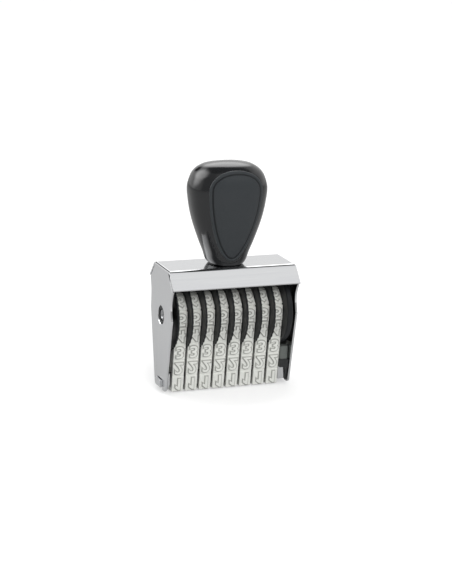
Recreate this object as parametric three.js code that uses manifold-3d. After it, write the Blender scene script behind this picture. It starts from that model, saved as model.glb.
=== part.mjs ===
// A numbering stamp: eight rubber number bands on thumb wheels, in a folded and chromed sheet-steel frame
// under a moulded handle.
// Lengths are in millimetres. +Z is up, +X is to the right and the front faces -Y.
// The origin is on the surface that the stamp prints on, under the middle of the bands.
import * as THREE from "three";
import { mergeVertices } from "three/addons/utils/BufferGeometryUtils.js";
import Module from "manifold-3d";

const wasm = await Module();
wasm.setup();

// Number bands
const bandCount = 8;
const blocksPerBand = 14;
const bandWidth = 5.6;
const bandBase = 1.1;
const blockRise = 0.9;
const blockGroove = 0.6;

// Thumb wheels, one on the left of each band
const axleHeight = 37;
const discRadius = 17;
const discThickness = 0.8;
const serrationCount = 36;
const serrationDepth = 0.45;
const hubTeeth = 8;
const hubTipRadius = 8.9;
const hubToothDepth = 1.2;
const bandToHub = 0.3;
const bandToDisc = 0.2;
const guardThickness = 2.6;
const guardChamfer = 0.5;

// Axle and its bushes
const axleRadius = 2.5;
const axleRecess = 0.6;
const bushWall = 1.3;
const bushFlangeRadius = 6;
const bushFlangeThickness = 1.1;
const runningGap = 0.3;

// Sheet-steel frame
const sheet = 1;
const endPlay = 0.85;
const plateBottom = 1.3;
const wheelHeadroom = 2.1;
const roofHalfDepth = 10.95;
const sideFoldRadius = 1.2;
const flapRun = 6.75;
const flapDrop = 7.5;
const flapSlit = 0.3;
const flapHem = 1.6;
const flapHemThickness = 0.5;
const plateFootHalfDepth = 7.7;
const plateFootRadius = 1.6;
const plateShoulderRise = 0.3;
const plateShoulderHalfDepth = 15.3;
const notchWaistRise = 7.5;
const frontWaistHalfDepth = 13.8;
const rearWaistHalfDepth = 15;

// Bridge that backs the bands over the paper
const bridgeHalfDepth = 4.5;
const bridgeTop = 9.9;
const bridgeFootRadius = 1.5;
const bridgeTopRadius = 0.8;
const bridgeSlip = 0.1;
const earThickness = 0.8;
const earTop = 10.6;
const earInset = 0.2;
const tabHalfDepth = 3.6;
const tabBottom = 2.6;
const tabTop = 6;
const tabReach = 1.2;

// End guide: a yoke between the bridge's bar and its right ear, whose posts keep the last band in its lane
const guideLeg = 1.5;
const guideLegHalfDepth = 6.2;
const guideNeckSlot = 2.9;
const guideFootHeight = 4;
const guideFootHalfDepth = 8.8;
const guidePostHalfDepth = 8.4;
const guidePostInside = 5.5;
const guidePostRadius = 1.5;
const guideToDisc = 0.4;
const neckHalfDepth = 2.6;
const neckBottom = 3.2;
const neckTop = 7;

// Handle
const handleHeight = 48.5;
const handleHalfWidth = 18.8;
const handleHalfDepth = 15.4;
const inlayRecess = 1.8;
const inlaySunk = 0.5;
const inlayGap = 0.3;
const inlayHalfWidth = 13.9;
const inlayTipRise = 1;
const inlayHeadDrop = 2.9;

// Handle fixing
const screwRadius = 2;
const screwHeadRadius = 3.9;
const screwHeadHeight = 2.4;
const screwReach = 11;
const hexSides = 6;
const hexRadius = 1.5;
const hexDepth = 1.4;
const washerRadius = 5;
const washerThickness = 0.8;
const insertWall = 1.3;
const insertLength = 12;

// Drawing values: facets round a full turn or along one arc of an outline, the length that a cutter runs past a
// face, and the welding distance.
const turnFacets = 32;
const boreFacets = 20;
const arcFacets = 6;
const inlayArcFacets = 8;
const beltFootFacets = 3;
const beltCrownFacets = 16;
const overrun = 1;
const weld = 0.0005;

const black = { color: 0x141516, roughness: 0.35, metalness: 0 };
const chrome = new THREE.MeshStandardMaterial({ color: 0xd7d9dc, roughness: 0.12, metalness: 1 });
const bandRubber = new THREE.MeshStandardMaterial({ color: 0xc9c9c2, roughness: 0.8, metalness: 0 });
const wheelPlastic = new THREE.MeshStandardMaterial({ ...black, roughness: 0.5 });
const handlePlastic = new THREE.MeshStandardMaterial(black);
const inlayPlastic = new THREE.MeshStandardMaterial({ color: 0x3b3e41, roughness: 0.8, metalness: 0 });
const steel = new THREE.MeshStandardMaterial({ color: 0xb8babd, roughness: 0.35, metalness: 1 });
const brass = new THREE.MeshStandardMaterial({ color: 0xb5973f, roughness: 0.35, metalness: 1 });

const group = new THREE.Group();

function addMesh(name, geometry, material, x = 0, y = 0, z = 0) {
  const mesh = new THREE.Mesh(geometry, material);
  mesh.name = name;
  mesh.position.set(x, y, z);
  group.add(mesh);
}

// A welded closed mesh becomes a solid that can be joined and cut.
function solidOf(geometry) {
  const bare = geometry.clone();
  bare.deleteAttribute("normal");
  bare.deleteAttribute("uv");
  const welded = mergeVertices(bare, weld);
  const vertProperties = new Float32Array(welded.attributes.position.array);
  const triVerts = new Uint32Array(welded.index.array);
  return new wasm.Manifold(new wasm.Mesh({ numProp: 3, vertProperties, triVerts }));
}

function geometryOf(solid) {
  const mesh = solid.getMesh();
  const geometry = new THREE.BufferGeometry();
  geometry.setAttribute("position", new THREE.BufferAttribute(mesh.vertProperties, 3));
  geometry.setIndex(new THREE.BufferAttribute(mesh.triVerts, 1));
  geometry.computeVertexNormals();
  return geometry;
}

// An outline drawn in (y, z) is carried along x, from x = start to x = end.
const sectionToPart = new THREE.Matrix4().makeBasis(
  new THREE.Vector3(0, 1, 0), new THREE.Vector3(0, 0, 1), new THREE.Vector3(1, 0, 0));

function alongX(outline, start, end) {
  const settings = { depth: end - start, bevelEnabled: false, curveSegments: arcFacets };
  const geometry = new THREE.ExtrudeGeometry(outline, settings);
  geometry.applyMatrix4(sectionToPart);
  return geometry.translate(start, 0, 0);
}

// An outline drawn in (x, z) is carried along y, from y = start to y = end.
function alongY(outline, start, end, curveSegments = arcFacets) {
  const geometry = new THREE.ExtrudeGeometry(outline, { depth: end - start, bevelEnabled: false, curveSegments });
  geometry.rotateX(Math.PI / 2);
  return geometry.translate(0, end, 0);
}

// An outline drawn in (x, y) is carried up, from z = bottom to z = top.
function alongZ(outline, bottom, top) {
  const settings = { depth: top - bottom, bevelEnabled: false, curveSegments: arcFacets };
  return new THREE.ExtrudeGeometry(outline, settings).translate(0, 0, bottom);
}

function rectangle(left, right, low, high) {
  return new THREE.Shape([[left, low], [right, low], [right, high], [left, high]]
    .map(([across, up]) => new THREE.Vector2(across, up)));
}

// The corners of a round outline, which lie on its radius
function circlePoints(radius, facets) {
  return Array.from({ length: facets }, (_, i) => {
    const angle = (2 * Math.PI * i) / facets;
    return new THREE.Vector2(radius * Math.cos(angle), radius * Math.sin(angle));
  });
}

// A solid turned about the z axis from (radius, height) points.
function turned(points) {
  return new THREE.LatheGeometry(points.map(([r, z]) => new THREE.Vector2(r, z)), boreFacets).rotateX(Math.PI / 2);
}

// The bands, their wheels and the guard disc fill the frame's width, and the roof clears wheels and screw head.
const pitch = bandWidth + discThickness + 2 * bandToDisc;
const stackLength = bandCount * pitch + guardThickness;
const stackStart = -stackLength / 2;
const plateInside = stackLength / 2 + endPlay + bushFlangeThickness;
const frameWidth = 2 * (plateInside + sheet);
const roofTop = axleHeight + discRadius + wheelHeadroom + screwHeadHeight + washerThickness + sheet;
const flapHalfDepth = roofHalfDepth + flapRun;
const flapBottom = roofTop - flapDrop;
const flapLength = Math.hypot(flapRun, flapDrop);
const flapUnder = sheet + flapSlit;
const plateShoulderHeight = axleHeight + plateShoulderRise;
const notchWaistHeight = axleHeight + notchWaistRise;
const guardStart = stackStart + bandCount * pitch;

// Frame: the side plates and roof are one folded U, trimmed to the plates' side outline.
function foldedU() {
  const half = frameWidth / 2;
  const foldInside = sideFoldRadius - sheet;
  const u = new THREE.Shape();
  u.moveTo(-half, 0);
  u.lineTo(-half + sheet, 0);
  u.lineTo(-half + sheet, roofTop - sideFoldRadius);
  u.absarc(-half + sideFoldRadius, roofTop - sideFoldRadius, foldInside, Math.PI, Math.PI / 2, true);
  u.lineTo(half - sideFoldRadius, roofTop - sheet);
  u.absarc(half - sideFoldRadius, roofTop - sideFoldRadius, foldInside, Math.PI / 2, 0, true);
  u.lineTo(half - sheet, 0);
  u.lineTo(half, 0);
  u.lineTo(half, roofTop - sideFoldRadius);
  u.absarc(half - sideFoldRadius, roofTop - sideFoldRadius, sideFoldRadius, 0, Math.PI / 2, false);
  u.lineTo(-half + sideFoldRadius, roofTop);
  u.absarc(-half + sideFoldRadius, roofTop - sideFoldRadius, sideFoldRadius, Math.PI / 2, Math.PI, false);
  return u;
}

function foldedBlock() {
  const half = frameWidth / 2;
  const block = new THREE.Shape();
  block.moveTo(-half, 0);
  block.lineTo(half, 0);
  block.lineTo(half, roofTop - sideFoldRadius);
  block.absarc(half - sideFoldRadius, roofTop - sideFoldRadius, sideFoldRadius, 0, Math.PI / 2, false);
  block.lineTo(-half + sideFoldRadius, roofTop);
  block.absarc(-half + sideFoldRadius, roofTop - sideFoldRadius, sideFoldRadius, Math.PI / 2, Math.PI, false);
  return block;
}

// Half-depth of the plates' tapered edge at a height below the shoulder
function plateHalfDepth(height) {
  const share = (height - plateBottom) / (plateShoulderHeight - plateBottom);
  return plateFootHalfDepth + share * (plateShoulderHalfDepth - plateFootHalfDepth);
}

// One edge of the side outline, from the foot to the roof, in (y, z): side is -1 in front and 1 behind. The finger
// notch is between shoulder and flap. Under the flap, which reaches over the plate, the edge keeps a slit's distance.
function addPlateEdge(outline, side, waistHalfDepth) {
  const footTop = plateBottom + plateFootRadius;
  const notchTop = flapBottom - flapUnder * flapRun / flapLength;
  const notchTopHalfDepth = flapHalfDepth - flapUnder * flapDrop / flapLength;
  const roofUnder = roofTop - sheet;
  const slitHalfDepth = roofHalfDepth + sheet * flapRun / flapDrop - flapUnder * flapLength / flapDrop;
  outline.lineTo(side * (plateFootHalfDepth - plateFootRadius), plateBottom);
  outline.quadraticCurveTo(side * plateFootHalfDepth, plateBottom, side * plateHalfDepth(footTop), footTop);
  outline.lineTo(side * plateShoulderHalfDepth, plateShoulderHeight);
  outline.quadraticCurveTo(side * waistHalfDepth, (plateShoulderHeight + notchWaistHeight) / 2,
    side * waistHalfDepth, notchWaistHeight);
  outline.quadraticCurveTo(side * waistHalfDepth, (notchWaistHeight + notchTop) / 2,
    side * notchTopHalfDepth, notchTop);
  outline.lineTo(side * slitHalfDepth, roofUnder);
  outline.lineTo(side * roofHalfDepth, roofTop);
}

// The side outline in (y, z): the rear edge going up, then the front edge, made as a path going up and reversed.
function plateOutline() {
  const slotHalf = tabHalfDepth + runningGap;
  const slotTop = tabTop + runningGap;
  const rear = new THREE.Path([[-slotHalf, plateBottom], [-slotHalf, slotTop], [slotHalf, slotTop],
    [slotHalf, plateBottom]].map(([y, z]) => new THREE.Vector2(y, z)));
  addPlateEdge(rear, 1, rearWaistHalfDepth);
  const front = new THREE.Path([new THREE.Vector2(-slotHalf, plateBottom)]);
  addPlateEdge(front, -1, frontWaistHalfDepth);
  return new THREE.Shape([...rear.getPoints(arcFacets), ...front.getPoints(arcFacets).slice(1).reverse()]);
}

// A point of a flap in (y, z), at a distance down its slant from the roof's edge and a depth under its outside.
function flapPoint(side, distance, depth) {
  const [out, down] = [flapRun / flapLength, flapDrop / flapLength];
  return new THREE.Vector2(side * (roofHalfDepth + out * distance - down * depth),
    roofTop - down * distance - out * depth);
}

// One flap in (y, z): a strip that leaves the roof and drops at a slant.
function flapOutline(side) {
  const bend = sheet * Math.tan(Math.atan2(flapDrop, flapRun) / 2);
  const points = [
    new THREE.Vector2(side * (roofHalfDepth - sheet), roofTop),
    flapPoint(side, 0, 0),
    flapPoint(side, flapLength, 0),
    flapPoint(side, flapLength, sheet),
    flapPoint(side, bend, sheet),
    new THREE.Vector2(side * (roofHalfDepth - sheet), roofTop - sheet),
  ];
  return new THREE.Shape(points);
}

// The hem that stiffens a flap's lower edge, turned inwards between the plates.
function hemOutline(side) {
  const [low, high] = [flapLength - flapHem, flapLength];
  return new THREE.Shape([flapPoint(side, low, sheet / 2), flapPoint(side, high, sheet / 2),
    flapPoint(side, high, sheet + flapHemThickness), flapPoint(side, low, sheet + flapHemThickness)]);
}

function frameGeometry() {
  const reach = flapHalfDepth + overrun;
  const half = frameWidth / 2;
  const hemEnd = plateInside - flapSlit;
  const plateSide = solidOf(alongX(plateOutline(), -half - overrun, half + overrun));
  const envelope = solidOf(alongY(foldedBlock(), -reach, reach));
  let frame = solidOf(alongY(foldedU(), -reach, reach)).intersect(plateSide);
  for (const side of [-1, 1]) {
    const flap = solidOf(alongX(flapOutline(side), -half, half)).intersect(envelope);
    frame = frame.add(flap).add(solidOf(alongX(hemOutline(side), -hemEnd, hemEnd)));
  }
  const screwHole = turned([[0, roofTop - sheet - overrun], [screwRadius + runningGap, roofTop - sheet - overrun],
    [screwRadius + runningGap, roofTop + overrun], [0, roofTop + overrun]]);
  const bushHole = alongX(new THREE.Shape(circlePoints(bushRadius + runningGap, turnFacets)),
    -half - overrun, half + overrun).translate(0, 0, axleHeight);
  return geometryOf(frame.subtract(solidOf(screwHole)).subtract(solidOf(bushHole)));
}

// Axle, and a flanged bush in each side plate
const bushRadius = axleRadius + runningGap + bushWall;

function bushGeometry(side) {
  const bore = axleRadius + runningGap;
  const inner = plateInside - bushFlangeThickness;
  const outer = frameWidth / 2 - axleRecess / 2;
  const profile = [[bore, inner], [bushFlangeRadius, inner], [bushFlangeRadius, plateInside],
    [bushRadius, plateInside], [bushRadius, outer], [bore, outer], [bore, inner]];
  const geometry = new THREE.LatheGeometry(profile.map(([r, x]) => new THREE.Vector2(r, x)), boreFacets);
  return geometry.rotateZ(-side * Math.PI / 2);
}

// Wheel: a serrated thumb disc with a toothed hub that fills the band's loop.
function serratedOutline() {
  const points = [];
  for (let i = 0; i < serrationCount; i++) {
    const angle = (2 * Math.PI * i) / serrationCount;
    const half = Math.PI / serrationCount;
    points.push(new THREE.Vector2(discRadius * Math.cos(angle), discRadius * Math.sin(angle)));
    const root = discRadius - serrationDepth;
    points.push(new THREE.Vector2(root * Math.cos(angle + half), root * Math.sin(angle + half)));
  }
  const outline = new THREE.Shape(points);
  outline.holes.push(new THREE.Path(circlePoints(axleRadius + runningGap, boreFacets)));
  return outline;
}

// Share of a hub tooth's pitch at which its root, flank, tip and next flank begin
const toothShares = [0, 0.32, 0.42, 0.9];

function hubOutline() {
  const root = hubTipRadius - hubToothDepth;
  const radii = [root, root, hubTipRadius, hubTipRadius];
  const points = [];
  for (let tooth = 0; tooth < hubTeeth; tooth++) {
    toothShares.forEach((share, i) => {
      const angle = (2 * Math.PI * (tooth + share)) / hubTeeth;
      points.push(new THREE.Vector2(radii[i] * Math.cos(angle), radii[i] * Math.sin(angle)));
    });
  }
  const outline = new THREE.Shape(points);
  outline.holes.push(new THREE.Path(circlePoints(axleRadius + runningGap, boreFacets)));
  return outline;
}

function wheelGeometry() {
  const disc = solidOf(alongX(serratedOutline(), 0, discThickness));
  const hub = solidOf(alongX(hubOutline(), discThickness / 2, discThickness + bandToDisc + bandWidth));
  return geometryOf(disc.add(hub));
}

// Band: a belt that runs round the hub and under the bridge. Its inner line is two circles joined by their tangents.
const hubCircle = { y: 0, z: axleHeight, radius: hubTipRadius + bandToHub };
const bandFloor = bandBase + blockRise;
const footCircle = {
  y: -(bridgeHalfDepth - bridgeFootRadius),
  z: bandFloor + bandToHub + bridgeFootRadius,
  radius: bridgeFootRadius + bandToHub,
};
const bridgeBottom = bandFloor + bandToHub;

// The front half of the belt's inner line, as pieces that start under the bridge and end over the hub.
function beltPieces() {
  const dy = hubCircle.y - footCircle.y;
  const dz = hubCircle.z - footCircle.z;
  const apart = Math.hypot(dy, dz);
  const normal = Math.atan2(dz, dy) + Math.acos((footCircle.radius - hubCircle.radius) / apart);
  const base = bandBase;
  return {
    normal,
    flat: -footCircle.y,
    foot: (footCircle.radius + base) * (3 * Math.PI / 2 - normal),
    straight: Math.sqrt(apart ** 2 - (hubCircle.radius - footCircle.radius) ** 2),
    crown: (hubCircle.radius + base) * (normal - Math.PI / 2),
  };
}

// The belt's place and outward angle at a distance from the middle of the print face, measured on its base.
function beltAt(distance) {
  const { normal, flat, foot, straight, crown } = belt;
  const half = flat + foot + straight + crown;
  let s = ((distance % (2 * half)) + 2 * half) % (2 * half);
  const mirror = s > half ? -1 : 1;
  if (mirror < 0) s = 2 * half - s;
  let y, z, angle;
  if (s < flat) {
    [y, z, angle] = [-s, footCircle.z - footCircle.radius, 3 * Math.PI / 2];
  } else if (s < flat + foot) {
    angle = 3 * Math.PI / 2 - (s - flat) / (footCircle.radius + bandBase);
    [y, z] = [footCircle.y + footCircle.radius * Math.cos(angle), footCircle.z + footCircle.radius * Math.sin(angle)];
  } else if (s < flat + foot + straight) {
    const along = s - flat - foot;
    angle = normal;
    y = footCircle.y + footCircle.radius * Math.cos(angle) + along * Math.sin(angle);
    z = footCircle.z + footCircle.radius * Math.sin(angle) - along * Math.cos(angle);
  } else {
    angle = normal - (s - flat - foot - straight) / (hubCircle.radius + bandBase);
    [y, z] = [hubCircle.radius * Math.cos(angle), hubCircle.z + hubCircle.radius * Math.sin(angle)];
  }
  return { y: y * mirror, z, out: new THREE.Vector2(Math.cos(angle) * mirror, Math.sin(angle)) };
}

const belt = beltPieces();
const beltLength = 2 * (belt.flat + belt.foot + belt.straight + belt.crown);
const blockPitch = beltLength / blocksPerBand;

function bandOutline() {
  const blockHalf = (blockPitch - blockGroove) / 2;
  const lifted = ({ y, z, out }, rise, along) => new THREE.Vector2(
    y + out.x * rise + out.y * along, z + out.y * rise - out.x * along);
  const outer = [];
  for (let block = 0; block < blocksPerBand; block++) {
    const middle = block * blockPitch;
    outer.push(lifted(beltAt(middle - blockHalf), bandBase, 0));
    outer.push(lifted(beltAt(middle), bandFloor, -blockHalf));
    outer.push(lifted(beltAt(middle), bandFloor, blockHalf));
    outer.push(lifted(beltAt(middle + blockHalf), bandBase, 0));
  }
  const inner = [];
  const straightEnd = belt.flat + belt.foot + belt.straight;
  const rearFoot = beltLength - belt.flat - belt.foot;
  for (let i = 0; i <= beltFootFacets; i++) inner.push(belt.flat + (belt.foot * i) / beltFootFacets);
  for (let i = 0; i <= beltCrownFacets; i++) inner.push(straightEnd + (belt.crown * 2 * i) / beltCrownFacets);
  for (let i = 0; i <= beltFootFacets; i++) inner.push(rearFoot + (belt.foot * i) / beltFootFacets);
  const outline = new THREE.Shape(outer.reverse());
  outline.holes.push(new THREE.Path(inner.map((s) => lifted(beltAt(s), 0, 0))));
  return outline;
}

// Bridge: a bar inside the bands with an ear inside each side plate and a tab through it. On the right, a neck
// leaves room for the end guide between bar and ear.
const earOuter = plateInside - bridgeSlip;
const earInner = earOuter - earThickness;
const earMiddle = (earInner + earOuter) / 2;
const barEnd = earInner - guideLeg - 2 * bridgeSlip;

function bridgeGeometry() {
  const bar = new THREE.Shape();
  bar.moveTo(-bridgeHalfDepth + bridgeFootRadius, bridgeBottom);
  bar.lineTo(bridgeHalfDepth - bridgeFootRadius, bridgeBottom);
  bar.absarc(bridgeHalfDepth - bridgeFootRadius, bridgeBottom + bridgeFootRadius, bridgeFootRadius, -Math.PI / 2, 0);
  bar.absarc(bridgeHalfDepth - bridgeTopRadius, bridgeTop - bridgeTopRadius, bridgeTopRadius, 0, Math.PI / 2);
  bar.absarc(-bridgeHalfDepth + bridgeTopRadius, bridgeTop - bridgeTopRadius, bridgeTopRadius, Math.PI / 2, Math.PI);
  bar.absarc(-bridgeHalfDepth + bridgeFootRadius, bridgeBottom + bridgeFootRadius, bridgeFootRadius,
    Math.PI, 3 * Math.PI / 2);
  const neck = rectangle(-neckHalfDepth, neckHalfDepth, neckBottom, neckTop);
  let bridge = solidOf(alongX(bar, -earMiddle, barEnd)).add(solidOf(alongX(neck, barEnd - overrun, earMiddle)));
  const ear = new THREE.Shape([
    [-plateHalfDepth(bridgeBottom) + earInset + bridgeFootRadius, bridgeBottom],
    [plateHalfDepth(bridgeBottom) - earInset - bridgeFootRadius, bridgeBottom],
    [plateHalfDepth(bridgeBottom + bridgeFootRadius) - earInset, bridgeBottom + bridgeFootRadius],
    [plateHalfDepth(earTop) - earInset, earTop],
    [-plateHalfDepth(earTop) + earInset, earTop],
    [-plateHalfDepth(bridgeBottom + bridgeFootRadius) + earInset, bridgeBottom + bridgeFootRadius],
  ].map(([y, z]) => new THREE.Vector2(y, z)));
  const tab = rectangle(-tabHalfDepth, tabHalfDepth, tabBottom, tabTop);
  const tabEnd = frameWidth / 2 + tabReach;
  for (const side of [-1, 1]) {
    const [earFrom, earTo] = [side * earInner, side * earOuter].sort((a, b) => a - b);
    const [tabFrom, tabTo] = [side * earMiddle, side * tabEnd].sort((a, b) => a - b);
    bridge = bridge.add(solidOf(alongX(ear, earFrom, earTo))).add(solidOf(alongX(tab, tabFrom, tabTo)));
  }
  return geometryOf(bridge);
}

// End guide: a leg straddles the neck, a foot lies over the bar's end in front and behind, and a post with a round
// nose rises from each foot to just under the guard disc.
function guidePost(side) {
  const [left, right] = [guardStart, earInner - bridgeSlip];
  const nose = side * (guidePostHalfDepth - guidePostRadius);
  const outline = new THREE.Shape();
  outline.moveTo(left, side * guidePostInside);
  outline.lineTo(left, nose);
  outline.quadraticCurveTo(left, side * guidePostHalfDepth, left + guidePostRadius, side * guidePostHalfDepth);
  outline.lineTo(right - guidePostRadius, side * guidePostHalfDepth);
  outline.quadraticCurveTo(right, side * guidePostHalfDepth, right, nose);
  outline.lineTo(right, side * guidePostInside);
  return outline;
}

function guideGeometry() {
  const legRight = earInner - bridgeSlip;
  const footBottom = bridgeTop + bridgeSlip;
  const footTop = footBottom + guideFootHeight;
  const postTop = axleHeight - discRadius - guideToDisc;
  const legTop = footBottom + bridgeSlip;
  const legOutline = new THREE.Shape([[-guideLegHalfDepth, bridgeBottom], [guideLegHalfDepth, bridgeBottom],
    [guidePostHalfDepth, legTop], [-guidePostHalfDepth, legTop]].map(([y, z]) => new THREE.Vector2(y, z)));
  const leg = solidOf(alongX(legOutline, legRight - guideLeg, legRight));
  const slot = solidOf(alongX(rectangle(-guideNeckSlot, guideNeckSlot, 0, neckTop + bridgeSlip),
    legRight - guideLeg - overrun, legRight + overrun));
  let guide = leg.subtract(slot);
  for (const side of [-1, 1]) {
    const [inside, outside] = [side * guidePostInside, side * guideFootHalfDepth].sort((a, b) => a - b);
    const foot = alongX(rectangle(inside, outside, footBottom, footTop), guardStart, legRight);
    const post = alongZ(guidePost(side), footTop - overrun, postTop);
    guide = guide.add(solidOf(foot)).add(solidOf(post));
  }
  return geometryOf(guide);
}

// Handle: rings of superellipses, lofted. Each row gives the shares of height, half-width and half-depth.
const handleShares = [
  [0, 0.4, 0.5], [0.012, 0.447, 0.528], [0.05, 0.515, 0.56], [0.12, 0.575, 0.61], [0.22, 0.68, 0.69],
  [0.32, 0.775, 0.77], [0.42, 0.86, 0.85], [0.52, 0.925, 0.92], [0.62, 0.97, 0.97], [0.75, 1, 1],
  [0.855, 0.925, 0.96], [0.91, 0.845, 0.86], [0.965, 0.66, 0.62], [0.99, 0.42, 0.36], [1, 0.16, 0.13],
];
const handleRings = 22;
const handleSides = 34;
const sectionPower = 2.3;
const handleBottom = roofTop;
const handleTop = handleBottom + handleHeight;
const handleCurve = new THREE.CatmullRomCurve3(
  handleShares.map(([rise, width, depth]) => new THREE.Vector3(width, depth, rise)));

function handleSolid(inset) {
  const positions = [];
  const index = [];
  for (let ring = 0; ring <= handleRings; ring++) {
    const at = handleCurve.getPoint(ring / handleRings);
    const halfWidth = Math.max(at.x * handleHalfWidth - inset, weld);
    const halfDepth = Math.max(at.y * handleHalfDepth - inset, weld);
    const z = handleBottom + Math.min(Math.max(at.z, 0), 1) * handleHeight;
    for (let side = 0; side < handleSides; side++) {
      const angle = (2 * Math.PI * (side + 0.5)) / handleSides;
      const [c, s] = [Math.cos(angle), Math.sin(angle)];
      positions.push(halfWidth * Math.sign(c) * Math.abs(c) ** (2 / sectionPower),
        halfDepth * Math.sign(s) * Math.abs(s) ** (2 / sectionPower), z);
    }
  }
  for (let ring = 0; ring < handleRings; ring++) {
    for (let side = 0; side < handleSides; side++) {
      const a = ring * handleSides + side;
      const b = ring * handleSides + ((side + 1) % handleSides);
      index.push(a, b, b + handleSides, a, b + handleSides, a + handleSides);
    }
  }
  const top = handleRings * handleSides;
  const bottomMiddle = positions.length / 3;
  positions.push(0, 0, handleBottom, 0, 0, handleTop);
  for (let side = 0; side < handleSides; side++) {
    const next = (side + 1) % handleSides;
    index.push(bottomMiddle, next, side);
    index.push(bottomMiddle + 1, top + side, top + next);
  }
  const geometry = new THREE.BufferGeometry();
  geometry.setAttribute("position", new THREE.Float32BufferAttribute(positions, 3));
  geometry.setIndex(index);
  return solidOf(geometry);
}

// The inlay's outline in (x, z): a rounded tip near the roof that widens to a round head.
// The shares say how high its widest place is, and how far each curve's handles reach.
const inlayWaistShare = 0.8;
const inlayTipShare = 0.42;
const inlayFlankShare = 0.55;
const inlayHeadShare = 0.6;

function inlayOutline(inset) {
  const tip = handleBottom + inlayTipRise + inset;
  const head = handleTop - inlayHeadDrop - inset;
  const waist = tip + (head - tip) * inlayWaistShare;
  const half = inlayHalfWidth - inset;
  const flank = tip + (waist - tip) * inlayFlankShare;
  const shoulder = waist + (head - waist) * inlayHeadShare;
  const outline = new THREE.Shape();
  outline.moveTo(0, tip);
  outline.bezierCurveTo(half * inlayTipShare, tip, half, flank, half, waist);
  outline.bezierCurveTo(half, shoulder, half * inlayHeadShare, head, 0, head);
  outline.bezierCurveTo(-half * inlayHeadShare, head, -half, shoulder, -half, waist);
  outline.bezierCurveTo(-half, flank, -half * inlayTipShare, tip, 0, tip);
  return outline;
}

function inlayPrism(side, inset) {
  const reach = side * (handleHalfDepth + overrun);
  return solidOf(alongY(inlayOutline(inset), Math.min(0, reach), Math.max(0, reach), inlayArcFacets));
}

function handleBodyGeometry() {
  const pocketFloor = handleSolid(inlayRecess);
  const boreRadius = screwRadius + runningGap + insertWall + runningGap;
  const boreTop = handleBottom + insertLength + runningGap;
  const bore = turned([[0, handleBottom - overrun], [boreRadius, handleBottom - overrun], [boreRadius, boreTop],
    [0, boreTop]]);
  let body = handleSolid(0).subtract(solidOf(bore));
  for (const side of [-1, 1]) body = body.subtract(inlayPrism(side, 0).subtract(pocketFloor));
  return geometryOf(body);
}

function inlayGeometry(side) {
  return geometryOf(inlayPrism(side, inlayGap).intersect(handleSolid(inlaySunk))
    .subtract(handleSolid(inlayRecess - inlayGap)));
}

// Screw, washer and threaded insert that hold the handle to the roof
function screwGeometry() {
  const seat = roofTop - sheet - washerThickness;
  const head = seat - screwHeadHeight;
  const body = turned([[0, head], [screwHeadRadius, head], [screwHeadRadius, seat], [screwRadius, seat],
    [screwRadius, roofTop + screwReach], [0, roofTop + screwReach]]);
  const hex = new THREE.CylinderGeometry(hexRadius, hexRadius, hexDepth + overrun, hexSides).rotateX(Math.PI / 2)
    .translate(0, 0, head + (hexDepth - overrun) / 2);
  return geometryOf(solidOf(body).subtract(solidOf(hex)));
}

function ringGeometry(inner, outer, low, high) {
  return turned([[inner, low], [outer, low], [outer, high], [inner, high], [inner, low]]);
}

addMesh("frame", frameGeometry(), chrome);
addMesh("bridge", bridgeGeometry(), chrome);
addMesh("end_guide", guideGeometry(), wheelPlastic);
const axle = alongX(new THREE.Shape(circlePoints(axleRadius, boreFacets)), axleRecess - frameWidth / 2,
  frameWidth / 2 - axleRecess);
addMesh("axle", axle, steel, 0, 0, axleHeight);
addMesh("left_bush", bushGeometry(-1), wheelPlastic, 0, 0, axleHeight);
addMesh("right_bush", bushGeometry(1), wheelPlastic, 0, 0, axleHeight);

for (let band = 0; band < bandCount; band++) {
  const discStart = stackStart + band * pitch;
  const bandStart = discStart + discThickness + bandToDisc;
  addMesh(`number_wheel_${band + 1}`, wheelGeometry(), wheelPlastic, discStart, 0, axleHeight);
  addMesh(`number_band_${band + 1}`, alongX(bandOutline(), 0, bandWidth), bandRubber, bandStart, 0, 0);
}

const guardProfile = [[axleRadius + runningGap, 0], [discRadius - guardChamfer, 0], [discRadius, guardChamfer],
  [discRadius, guardThickness - guardChamfer], [discRadius - guardChamfer, guardThickness],
  [axleRadius + runningGap, guardThickness], [axleRadius + runningGap, 0]];
const guard = new THREE.LatheGeometry(guardProfile.map(([r, x]) => new THREE.Vector2(r, x)), turnFacets);
addMesh("guard_disc", guard.rotateZ(-Math.PI / 2), wheelPlastic, guardStart, 0, axleHeight);

addMesh("handle_body", handleBodyGeometry(), handlePlastic);
addMesh("handle_front_inlay", inlayGeometry(-1), inlayPlastic);
addMesh("handle_rear_inlay", inlayGeometry(1), inlayPlastic);
addMesh("handle_screw", screwGeometry(), steel);
addMesh("handle_washer", ringGeometry(screwRadius + runningGap, washerRadius, roofTop - sheet - washerThickness,
  roofTop - sheet), steel);
addMesh("handle_insert", ringGeometry(screwRadius + runningGap, screwRadius + runningGap + insertWall, roofTop,
  roofTop + insertLength), brass);

export default group;
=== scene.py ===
# %% [markdown]
# # A numbering stamp, dressed around its construction model
#
# The construction model holds the real sizes of every part. This lesson gives it its looks: chromed sheet
# steel, a glossy black handle with a matt inlay, black thumb wheels, and grey rubber bands whose raised
# figures are cut in mirror writing. Each shape is a surface worked out with numpy, in the construction
# model's own frame, so nothing has to be fitted by hand afterwards.

# %% Load the construction model
import math

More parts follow.
